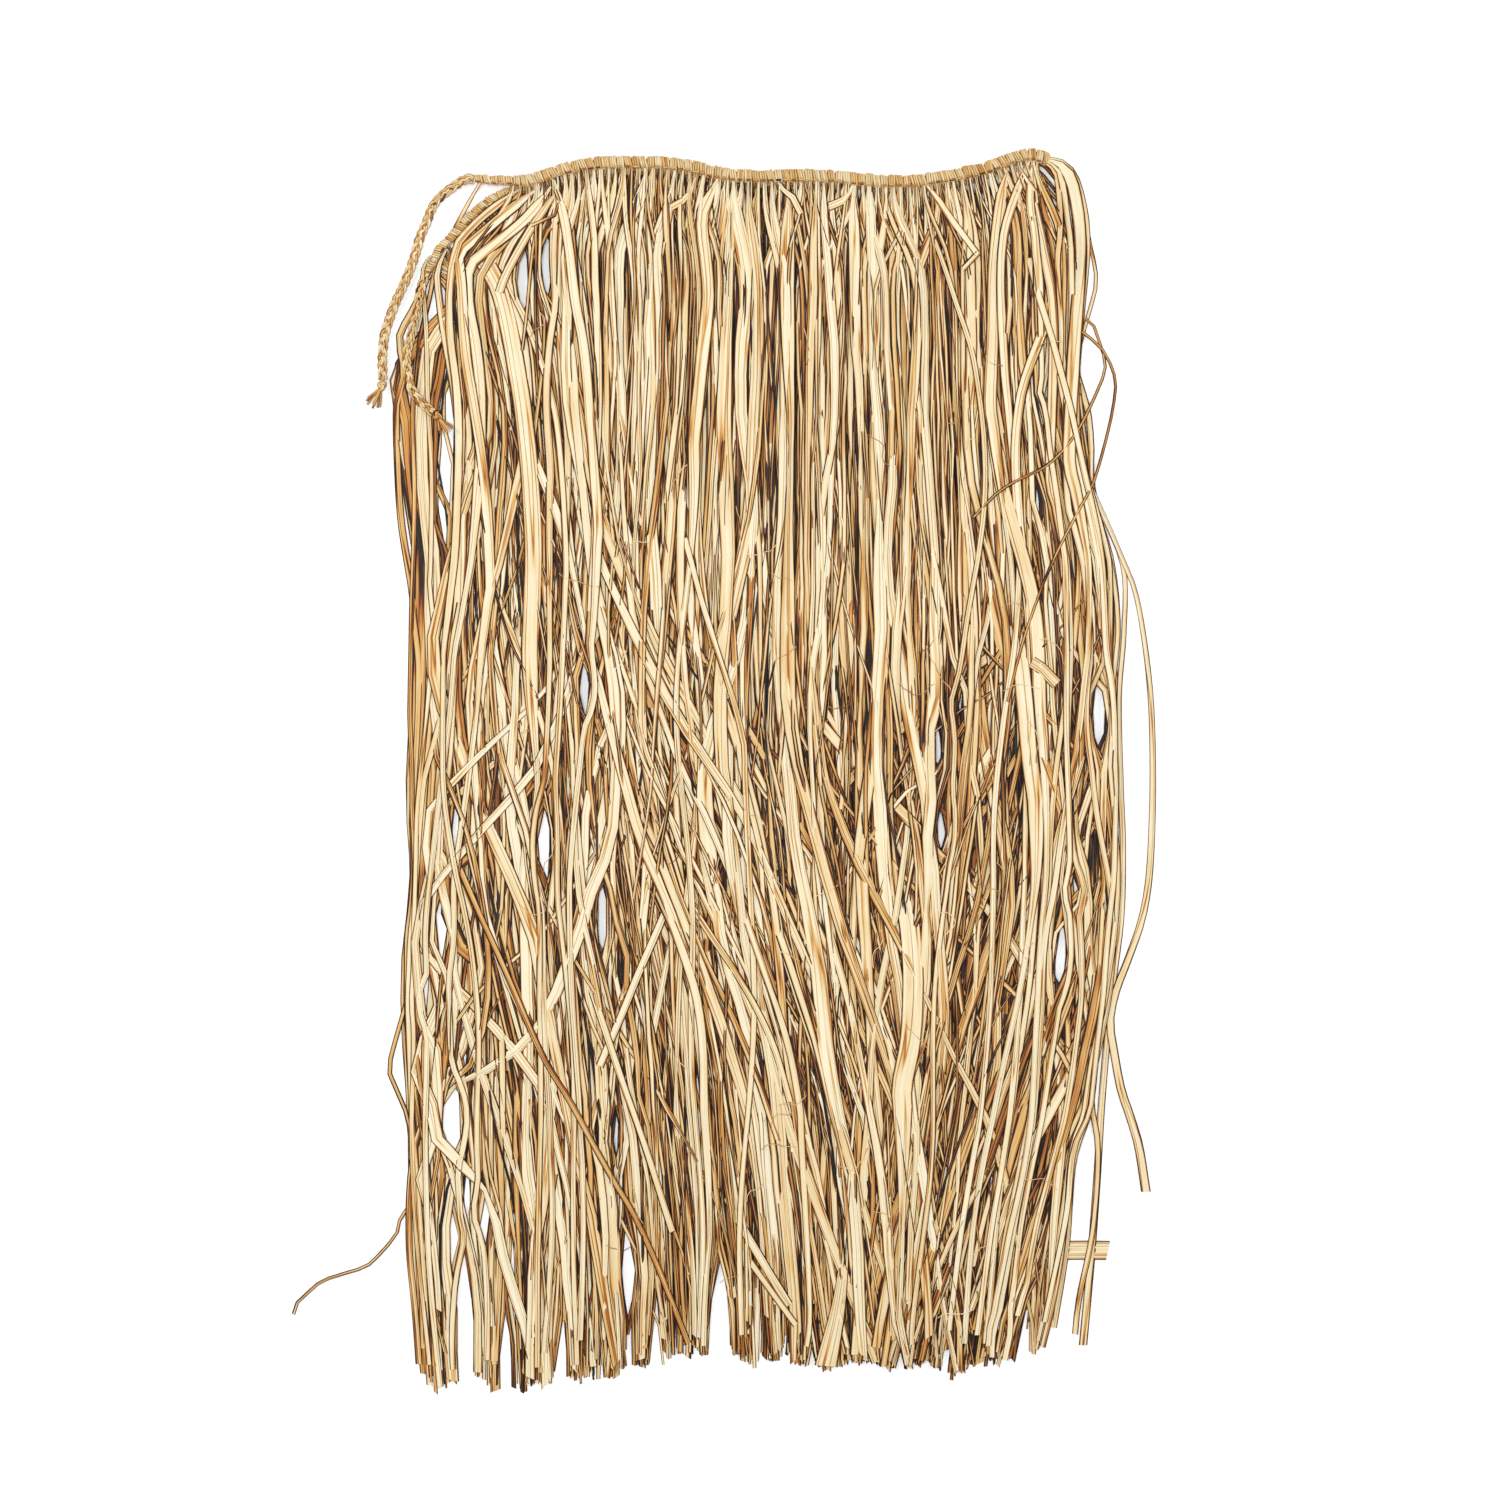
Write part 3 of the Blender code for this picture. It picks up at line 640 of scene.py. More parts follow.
# Where the strands go. Each row: drop, then x of the courses at these shares of the waist cord
frontShares = (0.0, 0.10, 0.3, 0.55, 0.8, 1.0)
frontCourses = np.array([
    (60, -170, -110, -36, 52, 146, 228),
    (86, -176, -108, -35, 52, 147, 231),
    (150, -170, -104, -36, 51, 150, 229),
    (197, -167, -104, -40, 51, 152, 235),
    (270, -178, -108, -44, 51, 155, 250),
    (327, -190, -112, -47, 51, 157, 254),
    (476, -200, -120, -50, 52, 154, 256),
    (553, -202, -120, -48, 52, 149, 250),
    (632, -202, -118, -45, 52, 144, 238),
    (700, -198, -118, -42, 51, 138, 222),
    (830, -189, -122, -38, 50, 129, 200),
], float)
backShares = (0.0, 0.08, 0.24, 0.55, 0.8, 1.0)
backCourses = np.array([
    (77, -185, -158, -104, 30, 138, 222),
    (100, -190, -162, -105, 31, 139, 224),
    (125, -206, -168, -106, 32, 140, 226),
    (164, -211, -172, -107, 33, 143, 227),
    (219, -207, -174, -108, 34, 146, 231),
    (264, -198, -170, -106, 35, 148, 238),
    (327, -199, -168, -104, 36, 150, 249),
    (436, -205, -166, -101, 38, 150, 252),
    (569, -209, -164, -98, 40, 144, 242),
    (640, -204, -163, -98, 40, 140, 228),
    (711, -201, -162, -99, 40, 136, 218),
    (830, -194, -158, -100, 40, 125, 196),
], float)
# where the longest strands end: x, drop
hemLine = np.array([
    (-212, 780), (-200, 792), (-188, 815), (-175, 806), (-160, 804), (-150, 812), (-131, 816), (-122, 808),
    (-95, 806), (-75, 804), (-58, 799), (-42, 794), (-27, 789), (-9, 789), (3, 787), (19, 796), (41, 792),
    (64, 797), (84, 794), (113, 797), (135, 793), (150, 804), (168, 796), (184, 793), (197, 789),
    (206, 783), (214, 770), (240, 776),
], float)
# slits that show the floor, in the photograph's pixels: x, y of the top and the bottom, width
slits = [
    (523, 226, 330, 11), (547, 214, 315, 9), (410, 345, 418, 9), (448, 382, 432, 10), (443, 432, 496, 9),
    (442, 500, 546, 8), (584, 650, 728, 10), (543, 780, 910, 11), (440, 886, 976, 11), (602, 860, 974, 9),
    (401, 808, 935, 8), (426, 974, 1030, 8), (621, 946, 982, 7), (451, 1066, 1172, 19), (484, 1184, 1242, 10),
    (450, 1216, 1276, 11), (600, 1108, 1158, 8), (616, 1110, 1168, 8), (645, 1072, 1104, 7),
    (463, 1240, 1440, 12), (628, 1220, 1316, 10), (720, 1240, 1450, 17), (1100, 660, 764, 11),
    (961, 678, 736, 8), (938, 702, 790, 9), (942, 788, 864, 9), (1076, 866, 912, 8), (1061, 904, 1008, 9),
    (1050, 382, 408, 8), (1039, 495, 519, 8), (1085, 1116, 1252, 18), (1004, 1322, 1349, 8),
    (505, 1300, 1440, 7), (560, 1310, 1440, 7), (655, 1290, 1440, 8), (900, 1330, 1440, 7),
    (812, 1325, 1440, 6), (1022, 1290, 1440, 8),
]
giveWay = {"reach": 16.0, "wider": 1.35}


def clearOfSlits(x, drop, half):
    # pushes a strand's middle line out of the slits, to the side it is on already
    for px, pyTop, pyBottom, wide in slits:
        (slitX, top), (_, bottom) = fromPhoto([(px, pyTop), (px, pyBottom)])
        if drop[-1] < top or drop[0] > bottom:
            continue
        centre = (top + bottom) / 2
        side = 1.0 if np.interp(centre, drop, x) >= slitX else -1.0
        share = smooth(1 - np.abs(drop - centre) / (bottom - centre)) ** 0.5
        away = np.maximum(0.0, side * (x - slitX))
        clear = wide * giveWay["wider"] * photo["size"] / 2 + half
        target = slitX + side * (away + clear * np.clip(1 - away / giveWay["reach"], 0, 1) ** 2)
        near = away < giveWay["reach"]
        x = np.where(near, x + share * (target - x), x)
    return x


def courseAt(shares, courses, share, drop):
    # x at a share of the waist cord and a drop, both arrays
    columns = np.array([np.interp(drop, courses[:, 0], courses[:, k + 1]) for k in range(len(shares))])
    share = np.clip(share, 0, 1)
    k = np.clip(np.searchsorted(shares, share, side="right") - 1, 0, len(shares) - 2)
    low = np.array(shares)[k]
    high = np.array(shares)[k + 1]
    part = (share - low) / (high - low)
    index = np.arange(len(drop))
    return columns[k, index] * (1 - part) + columns[k + 1, index] * part


# strands gather: a few together under the waist cord, and many together towards the hem
gather = {"highCount": 56, "highPull": 0.6, "lowCount": 27, "lowPull": 0.55, "start": 330.0, "full": 700.0,
          "seed": 5}
belowHem = 850.0  # a drop that no strand reaches
# and many lean across on their way down: by how much of the waist cord, from what distance on
sway = {"part": 0.8, "share": (0.0, 0.12, 0.3, 0.4, 0.5, 0.6, 0.8, 1.0),
        "size": (0.25, 0.42, 0.32, 0.18, 0.06, 0.08, -0.06, -0.16),
        "begin": (-40, -20, 180, 230, 290, 350, 380, 420),
        "place": (0.0, 0.09, 0.19, 0.33, 0.47, 0.57, 0.68, 0.82, 0.93, 1.0),
        "low": (0.20, 0.17, 0.04, -0.02, 0.19, 0.18, 0.18, -0.12, -0.20, -0.14)}


def gatheringPlaces(count, rng):
    return np.array([(k + rng.uniform(0.1, 0.9)) / count for k in range(count)])


gatherRng = random.Random(gather["seed"])
gatherHigh = gatheringPlaces(gather["highCount"], gatherRng)
gatherLow = gatheringPlaces(gather["lowCount"], gatherRng)


def strandPath(bandLine, shares, courses, share, rng, look, slim):
    # a strand's way from its knot on the waist cord to its tip: x, drop
    at = share * (len(bandLine) - 1)
    k = min(int(at), len(bandLine) - 2)
    root = bandLine[k] * (1 - (at - k)) + bandLine[k + 1] * (at - k)
    way = bandLine[k + 1] - bandLine[k]
    down = np.array([-way[1], way[0]]) / np.linalg.norm(way)
    start = root + down * (band["high"] / 2 - 0.8)
    drop = np.arange(start[1], belowHem, 4.0)
    gone = drop - start[1]
    fanned = rng.gauss(0, look["fan"])
    moved = fanned * smooth(gone / rng.uniform(40, 80))
    for _ in range(3):
        begin = rng.uniform(30, 560)
        moved = moved + rng.gauss(0, look["drift"]) * smooth((gone - begin) / rng.uniform(90, 240))
    cross = look["cross"] * (3.6 if rng.random() < look["crossers"] else 1.0)
    moved = moved + rng.gauss(0, cross) * smooth((gone - rng.uniform(200, 450)) / rng.uniform(230, 380))
    if rng.random() < sway["part"]:
        swing = np.interp(share, sway["share"], sway["size"]) * look["sway"] * rng.uniform(0.3, 1.1)
        begin = np.interp(share, sway["share"], sway["begin"]) + rng.uniform(0, 180)
        moved = moved + swing * smooth((gone - begin) / rng.uniform(400, 680))
    begin = rng.uniform(430, 580)
    low = np.interp(share + np.interp(begin, gone, moved), sway["place"], sway["low"]) * look["sway"]
    moved = moved + low * rng.uniform(0.1, 1.5) * smooth((gone - begin) / 350)
    own = share + moved
    centre = gatherHigh[np.argmin(np.abs(gatherHigh - share - fanned))]
    pull = gather["highPull"] * rng.uniform(0.3, 1) * smooth(gone / 50) * (1 - smooth((gone - 110) / 240))
    own = own + (centre - own) * pull
    centre = gatherLow[np.argmin(np.abs(gatherLow - own[-1]))]
    own = own + (centre - own) * gather["lowPull"] * rng.uniform(0.2, 1) * smooth(
        (drop - gather["start"]) / (gather["full"] - gather["start"]))
    own = 1 - np.abs(1 - np.abs(own))
    wander = sum(rng.uniform(0.3, 1) * size * np.sin(gone / rng.uniform(low, high) + rng.uniform(0, 6.3))
                 for size, low, high in ((2.6, 34, 60), (1.4, 16, 26), (0.6, 7, 11)))
    wander = wander * smooth(gone / 90)
    fade = np.minimum(1.0, np.minimum(own, 1 - own) * 22 + 0.15)
    x = courseAt(shares, courses, own, drop) + wander * fade
    lead = smooth(gone / 60)
    x = (start[0] + down[0] / max(0.3, down[1]) * gone * 0.6) * (1 - lead) + x * lead
    tip = np.interp(np.interp(800, drop, x), hemLine[:, 0], hemLine[:, 1])
    cut = rng.random()
    if cut < look["short"] and slim:
        tip = tip - rng.uniform(30, look["shorter"])
    elif cut < look["short"] + 0.35:
        tip = tip - rng.uniform(4, 55)
    else:
        tip = tip - abs(rng.gauss(0, 6))
    kept = drop <= tip
    soft = np.hanning(13)[1:-1]
    rounded = np.convolve(np.pad(x, 5, mode="edge"), soft / soft.sum(), mode="valid")
    held = smooth(gone / 24)
    x = x * (1 - held) + rounded * held
    return x[kept], drop[kept]


shadeOver = {"pale": -0.07, "left": -85.0, "brown": 0.08, "right": 10.0, "soft": 50.0, "from": 240.0,
             "full": 150.0}


def regionTone(x, drop):
    # below its upper third the skirt is paler at the left and browner right of its middle
    pale = shadeOver["pale"] * smooth((shadeOver["left"] - x) / shadeOver["soft"])
    brown = shadeOver["brown"] * smooth((x - shadeOver["right"]) / shadeOver["soft"])
    return (pale + brown) * smooth((drop - shadeOver["from"]) / shadeOver["full"])


def strandRow(bundle, bandLine, shares, courses, count, seed, look):
    rng = random.Random(seed)
    line = curveThrough(bandLine, 3.0)
    hitches = len(worldLine([(x, drop, 0) for x, drop in bandLine], band["hitch"])) - 1
    strands = []
    for k in range(count):
        wideMost = rng.lognormvariate(math.log(look["wide"]), look["wideSpread"])
        wideMost = min(look["widest"], max(1.1, wideMost))
        share = (k * hitches // count + 0.5 + rng.uniform(-0.22, 0.22)) / hitches
        strands.append((rng.random() + look["wideLast"] * wideMost, share, wideMost))
    for _, share, wideMost in sorted(strands):
        x, drop = strandPath(line, shares, courses, share, rng, look, wideMost < 5.5)
        x = clearOfSlits(x, drop, wideMost * 0.42)
        open_ = rng.uniform(*look["open"])
        waves = rng.uniform(0, 6.3)
        length = rng.uniform(50, 130)
        roll = rng.uniform(0.2, 1.7) * rng.choice((-1, -1, 1))
        last = drop[-1] - drop[0]
        tip = rng.uniform(0.0, 0.6)
        twists = [rng.uniform(60, 800) for _ in range(rng.choice((0, 0, 1, 2)))]
        tone = look["tone"] + rng.gauss(0, look["toneSpread"]) - 0.016 * (wideMost - 4)
        if rng.random() < look["orange"]:
            tone += rng.uniform(0.10, 0.28)
        region = regionTone(x, drop)

        def twisted(gone):
            return sum((np.exp(-((gone - place) / 15) ** 2) for place in twists), np.zeros(len(gone)))

        def wide(gone):
            full = wideMost * (1 + 0.22 * np.sin(gone / length + waves)
                               + 0.15 * np.sin(gone / 31 + 3 * waves))
            full = (full * (1 - 0.6 * np.minimum(1, twisted(gone)))
                    * (1 - tip * smooth((gone - last + 110) / 110)))
            return 1.5 + np.maximum(-0.4, full - 1.5) * smooth(gone / open_)

        def curl(gone):
            loose = roll * (1 + 0.5 * np.sin(gone / (length * 0.7) + 2 * waves))
            return np.sign(roll) * 2.2 * (1 - smooth(gone / open_)) + loose * smooth(gone / open_)

        def toneAlong(gone):
            own = tone + np.interp(gone, drop - drop[0], region)
            own = own + 0.06 * np.sin(gone / length + 2 * waves) + 0.12 * twisted(gone)
            return np.clip(own - 0.10 * (1 - smooth(gone / 26)), 0.0, 0.9)

        layStrand(bundle, list(zip(x, drop)), wide, curl, toneAlong, rng, rootHeight=look["root"] / squeeze,
                  points=look["points"], station=look["station"], dive=look["dive"] * rng.uniform(0.3, 1))


def rowLook(**changes):
    usual = {"count": 180, "wide": 3.8, "wideSpread": 0.5, "widest": 10.0, "wideLast": 0.0, "tone": 0.44,
             "toneSpread": 0.12, "orange": 0.24, "fan": 0.016, "drift": 0.014, "cross": 0.03, "crossers": 0.1,
             "sway": 0.0, "short": 0.14, "shorter": 120, "root": 7.0, "points": 4, "station": 27.0,
             "dive": 1.4, "open": (8, 24)}
    return {**usual, **changes}


# rows that lie deeper in the pile get a darker mean tone: painted shade for their depth, on top of each
# strand's own random tone
rows = {
    "back_lower": rowLook(count=170, wide=4.2, tone=0.36, root=1.6, station=30.0, drift=0.008, dive=0.6),
    "back_upper": rowLook(count=180, tone=0.30, root=2.6, station=29.0, drift=0.010, dive=0.8),
    "front_lower": rowLook(count=255, wide=3.5, tone=0.38, orange=0.4, root=6.4, cross=0.04, sway=0.25),
    "front_middle": rowLook(count=275, wide=3.4, tone=0.25, cross=0.06, crossers=0.2, sway=0.55,
                            station=25.0),
    "front_upper": rowLook(count=235, wide=3.3, wideSpread=0.55, widest=9.0, wideLast=0.05, tone=0.22,
                           toneSpread=0.11, orange=0.2, fan=0.024, drift=0.02, cross=0.06, crossers=0.24,
                           sway=1.0, short=0.2, shorter=170, root=7.6, points=5, station=23.0, dive=1.8,
                           open=(16, 44)),
}


# Strands placed one by one. Each: the row it is laid with, width in mm (two where it changes from its
# first point to its last), tone, roll, how it starts (tied: in a hitch, under: out from below others,
# free), with "on" if it then runs to the hem as the others do, and its way in the photograph's pixels
placed = [
    # out at the left edge, from the end of the back run
    ("back_upper", 5.0, 0.30, -1.0, "tied on", [
        (432, 262), (424, 282), (415, 303), (404, 322), (398, 337), (400, 352), (403, 370), (400, 388),
        (396, 402), (396, 450), (400, 520), (411, 590)]),
    ("back_upper", 3.6, 0.40, -1.6, "tied on", [
        (436, 258), (430, 290), (421, 330), (414, 372), (412, 420), (414, 500), (411, 600), (409, 700)]),
    ("back_upper", 2.4, 0.20, -1.8, "under", [
        (440, 1186), (420, 1199), (407, 1209), (397, 1225), (395, 1238), (382, 1251), (372, 1263),
        (360, 1270), (340, 1276), (320, 1283), (308, 1293), (297, 1302), (292, 1316)]),
    ("back_upper", 3.2, 0.30, -1.2, "under", [
        (412, 980), (402, 1015), (392, 1050), (388, 1072), (396, 1092), (408, 1125), (410, 1180),
        (408, 1240)]),
    ("back_upper", 4.6, 0.22, -1.0, "under", [
        (430, 1100), (412, 1160), (408, 1240), (414, 1310), (418, 1366)]),
    ("back_upper", 12.5, 0.12, -0.2, "under", [(1030, 1256), (1069, 1252), (1109, 1252)]),
    ("front_lower", 5.0, 0.12, -0.8, "tied on", [
        (446, 250), (438, 268), (437, 285), (442, 325), (448, 362), (454, 400), (460, 450), (466, 520),
        (462, 600)]),
    ("front_lower", 3.6, 0.12, -1.2, "tied on", [
        (431, 256), (424, 264), (422, 280), (424, 309), (426, 341), (427, 400), (431, 470), (430, 560)]),
    # blades that sweep over the back run and bend down
    ("front_blades", 12.5, 0.10, -0.4, "under on", [
        (474, 246), (486, 264), (497, 284), (505, 310), (512, 345), (518, 380), (524, 420), (530, 480),
        (533, 560), (530, 640)]),
    ("front_blades", 6.0, 0.14, -0.7, "tied", [
        (560, 188), (548, 204), (533, 226), (519, 250), (506, 274), (499, 292)]),
    ("front_blades", 4.6, 0.14, -1.0, "under on", [
        (502, 264), (512, 292), (525, 319), (536, 348), (546, 378), (556, 420), (562, 480), (566, 560)]),
    ("front_blades", 8.0, 0.04, -0.6, "tied on", [
        (551, 187), (540, 203), (525, 220), (502, 239), (480, 256), (470, 265), (468, 274), (468, 293),
        (470, 312), (476, 345), (480, 390), (480, 460)]),
    ("front_blades", 7.5, 0.08, -0.6, "tied on", [
        (538, 188), (510, 210), (486, 230), (466, 246), (459, 254), (460, 268), (462, 290), (463, 320),
        (466, 360), (474, 410), (484, 480), (490, 580)]),
    ("front_blades", 6.0, 0.12, -0.8, "tied on", [
        (519, 190), (503, 201), (481, 217), (464, 234), (457, 244), (454, 257), (451, 272), (449, 300),
        (450, 340), (456, 390), (458, 450), (455, 540)]),
    ("front_blades", 3.0, 0.04, -1.8, "tied", [(482, 180), (470, 199), (458, 219), (451, 233)]),
    ("front_blades", 2.6, 0.30, -1.8, "free", [(538, 222), (533, 250), (530, 275), (526, 318), (522, 350)]),
    ("front_blades", 2.6, 0.20, -1.8, "free", [(541, 221), (540, 250), (540, 278), (549, 309), (556, 335)]),
    ("front_blades", 2.2, 0.34, -1.8, "free", [(536, 226), (536, 262), (535, 300), (536, 333), (538, 370)]),
    ("front_blades", 2.6, 0.16, -1.8, "free", [(555, 190), (560, 205), (556, 215), (546, 220), (532, 226)]),
    ("front_blades", 6.0, 0.18, -0.8, "tied on", [
        (560, 188), (557, 204), (554, 230), (553, 260), (555, 300), (549, 345), (546, 400), (550, 470)]),
    ("front_blades", 7.0, 0.05, -0.6, "tied on", [
        (554, 180), (559, 198), (565, 222), (570, 255), (575, 300), (584, 350), (590, 420), (598, 520)]),
    # stubs and folded ends under the middle of the front run
    ("front_blades", 5.5, 0.06, -1.2, "tied", [(695, 178), (690, 194), (682, 202), (671, 208)]),
    ("front_blades", 9.0, 0.05, -0.5, "tied on", [
        (719, 176), (712, 192), (703, 212), (702, 232), (706, 264), (708, 300), (702, 360), (694, 440)]),
    ("front_blades", 5.5, 0.12, -0.8, "tied", [(776, 176), (783, 190), (794, 199), (801, 214)]),
    ("front_blades", 6.0, 0.08, -0.7, "tied", [(856, 178), (848, 196), (838, 204), (829, 207)]),
    ("front_blades", 4.5, 0.08, -0.9, "tied", [(922, 180), (938, 200), (950, 218), (962, 234), (977, 254)]),
    ("front_blades", 4.0, 0.12, -0.6, "free", [(978, 253), (971, 262), (963, 269)]),
    ("front_blades", 4.0, 0.14, -1.0, "under on", [
        (922, 214), (930, 230), (944, 266), (958, 308), (972, 352), (980, 400)]),
    # the fold at the right
    ("front_middle", 2.6, 0.30, -1.0, "free", [(1035, 160), (1046, 166), (1057, 178)]),
    ("front_middle", 2.4, 0.50, -1.0, "free", [(1035, 168), (1046, 178), (1058, 192)]),
    ("front_middle", 2.6, 0.42, -1.0, "free", [(1034, 176), (1046, 188), (1059, 201)]),
    ("front_middle", 2.2, 0.20, -1.0, "free", [(1034, 184), (1046, 198), (1058, 212)]),
    ("front_middle", 2.8, 0.52, -1.0, "free", [(1034, 190), (1046, 206), (1058, 219)]),
    ("front_middle", 2.4, 0.36, -1.0, "free", [(1036, 202), (1046, 218), (1057, 231)]),
    ("front_middle", 2.8, 0.56, -1.0, "free", [(1038, 210), (1047, 228), (1056, 244)]),
    ("front_middle", 2.2, 0.24, -1.0, "free", [(1048, 262), (1052, 248), (1055, 232)]),
    ("front_lower", 2.4, 0.45, -1.0, "free", [(1036, 170), (1044, 180), (1050, 198), (1053, 220)]),
    ("front_blades", 4.5, 0.22, -1.0, "tied on", [
        (1046, 164), (1055, 172), (1059, 190), (1060, 215), (1059, 240), (1057, 262), (1059, 292),
        (1061, 330), (1060, 380)]),
    ("front_blades", 5.0, 0.12, -0.8, "tied on", [
        (1047, 162), (1058, 170), (1064, 190), (1067, 215), (1070, 242), (1071, 272), (1072, 310),
        (1070, 360), (1066, 420), (1068, 500)]),
    ("front_blades", 2.8, 0.22, -1.6, "under", [
        (1084, 206), (1090, 238), (1096, 266), (1097, 284), (1091, 308), (1084, 332), (1076, 362)]),
    ("front_blades", 4.0, 0.15, -1.0, "tied on", [
        (1047, 158), (1064, 162), (1077, 177), (1084, 200), (1088, 225), (1088, 255), (1085, 290),
        (1081, 330), (1077, 385), (1080, 450)]),
    ("front_blades", 9.0, 0.05, -0.5, "tied on", [
        (1046, 160), (1059, 164), (1070, 177), (1076, 196), (1080, 222), (1081, 256), (1078, 300),
        (1075, 340), (1071, 400), (1069, 460)]),
    ("front_blades", 7.0, 0.12, -0.6, "tied on", [
        (1026, 166), (1030, 190), (1034, 210), (1040, 236), (1047, 268), (1052, 295), (1054, 345),
        (1052, 410), (1050, 480)]),
    ("front_blades", 9.0, 0.10, -0.5, "tied on", [
        (1008, 168), (1003, 190), (999, 215), (996, 245), (994, 275), (993, 330), (990, 400)]),
    ("front_blades", 6.5, 0.02, -0.5, "tied on", [
        (1030, 160), (1024, 174), (1017, 192), (1009, 214), (1003, 240), (1001, 285), (1003, 340)]),
    ("front_blades", 6.0, 0.05, -0.5, "tied on", [
        (1033, 160), (1031, 174), (1030, 190), (1030, 208), (1034, 232)]),
    # right-hand side and the strands that stand off it
    ("front_blades", 7.0, 0.05, -0.6, "under on", [
        (1053, 300), (1044, 328), (1032, 360), (1022, 392), (1017, 430), (1016, 470), (1020, 530)]),
    ("front_blades", 4.8, 0.10, -1.0, "under on", [
        (1029, 258), (1040, 300), (1052, 338), (1062, 376), (1071, 410), (1078, 443), (1086, 478),
        (1094, 512), (1102, 560), (1106, 640)]),
    ("front_middle", 4.5, 0.20, -1.0, "under on", [
        (1070, 352), (1080, 382), (1089, 412), (1092, 445), (1092, 480), (1100, 520), (1112, 560),
        (1118, 620), (1112, 700), (1110, 790)]),
    ("front_middle", 3.6, 0.16, -1.4, "under on", [
        (1084, 470), (1094, 499), (1108, 548), (1116, 588), (1119, 632), (1114, 680), (1111, 720),
        (1112, 800), (1104, 900), (1098, 1000)]),
    ("front_middle", (3.0, 5.6), 0.12, -1.0, "under", [
        (1086, 474), (1098, 504), (1124, 565), (1125, 632), (1120, 700), (1122, 790), (1124, 850),
        (1122, 920), (1112, 1000), (1103, 1100), (1098, 1180), (1092, 1260), (1084, 1347)]),
    ("front_middle", (2.6, 6.4), 0.12, -0.9, "under", [
        (1080, 455), (1093, 489), (1110, 527), (1124, 560), (1136, 590), (1145, 637), (1152, 700),
        (1154, 770), (1153, 830), (1150, 880), (1143, 920), (1130, 958), (1117, 992), (1111, 1022),
        (1115, 1052), (1122, 1090), (1132, 1120), (1140, 1148), (1147, 1193)]),
    ("front_middle", 5.0, 0.10, -0.5, "under", [
        (1096, 1060), (1090, 1110), (1073, 1163), (1067, 1247), (1054, 1329)]),
    ("front_middle", 3.4, 0.16, -0.6, "under", [(1062, 1180), (1054, 1247), (1048, 1329)]),
    ("back_upper", 1.6, 0.55, -1.0, "under", [(1046, 1240), (1040, 1302), (1039, 1350)]),
    ("back_upper", 2.2, 0.50, -1.0, "under", [(962, 1310), (956, 1345), (952, 1382)]),
    ("front_middle", 4.0, 0.24, -1.0, "under", [
        (1096, 960), (1098, 1040), (1092, 1100), (1099, 1150), (1094, 1230), (1080, 1300), (1076, 1336)]),
    ("front_blades", 10.0, 0.06, -0.4, "under on", [
        (997, 466), (1006, 500), (1016, 535), (1026, 570), (1034, 606), (1038, 650), (1040, 710)]),
    ("front_blades", 8.0, 0.24, -0.3, "free", [(1032, 662), (1044, 670), (1057, 684)]),
    ("front_blades", 12.0, 0.04, -0.3, "under on", [
        (1012, 626), (1020, 652), (1025, 700), (1030, 756), (1036, 800)]),
    ("loose", 2.4, 0.38, -2.6, "free", [
        (1086, 317), (1094, 323), (1102, 346), (1106, 361), (1103, 379), (1078, 430), (1050, 463),
        (1016, 481), (996, 494), (974, 517)]),
    ("loose", 2.4, 0.42, -2.6, "free", [
        (1082, 331), (1103, 348), (1116, 377), (1114, 407), (1104, 450), (1093, 484), (1078, 512),
        (1050, 568), (1024, 639), (1008, 702)]),
    # blades and crossings in the middle
    ("front_blades", 4.2, 0.06, -0.9, "under on", [
        (676, 505), (683, 532), (692, 565), (702, 602), (717, 650), (733, 700), (744, 745)]),
    ("front_blades", 14.0, 0.12, -0.3, "under on", [
        (903, 886), (910, 930), (913, 985), (910, 1040), (902, 1084)]),
    ("front_blades", 6.0, 0.09, -0.7, "under on", [
        (650, 870), (661, 900), (676, 935), (689, 971), (698, 1005), (703, 1050), (704, 1110)]),
    ("front_blades", 5.0, 0.10, -0.8, "under on", [
        (738, 890), (746, 918), (762, 965), (779, 1015), (791, 1058), (800, 1110)]),
    ("loose", 5.5, 0.02, -0.6, "under", [
        (669, 902), (655, 936), (640, 970), (623, 1012), (610, 1042), (600, 1066)]),
    ("loose", 4.6, 0.07, -0.8, "under", [
        (680, 885), (693, 908), (715, 942), (734, 970), (757, 1010), (775, 1050), (790, 1102)]),
    ("loose", 4.4, 0.44, -1.2, "under", [
        (449, 845), (475, 905), (500, 960), (541, 1053), (573, 1107), (610, 1174), (637, 1222), (661, 1276),
        (688, 1345)]),
    ("loose", 5.0, 0.10, -0.8, "under", [(586, 975), (600, 1015), (620, 1075), (646, 1150), (672, 1232)]),
    ("loose", 6.0, 0.10, -0.6, "under", [(727, 1198), (745, 1232), (766, 1268), (789, 1306)]),
    ("loose", 4.6, 0.16, -0.7, "under", [(738, 1244), (760, 1276), (780, 1304), (796, 1326)]),
    ("loose", (4.0, 15.0), 0.14, -0.3, "under", [(846, 1240), (842, 1280), (836, 1320), (826, 1367)]),
]
hairs = {"count": 50, "wide": 0.4, "tone": -1.0, "bend": 0.9}
placing = {"darker": 0.07, "dip": 2.4, "ragged": 0.12, "station": 9.0, "root": 1.6, "runOnWide": 4.2}


def steady(value):
    return lambda gone: np.full(len(gone), float(value))


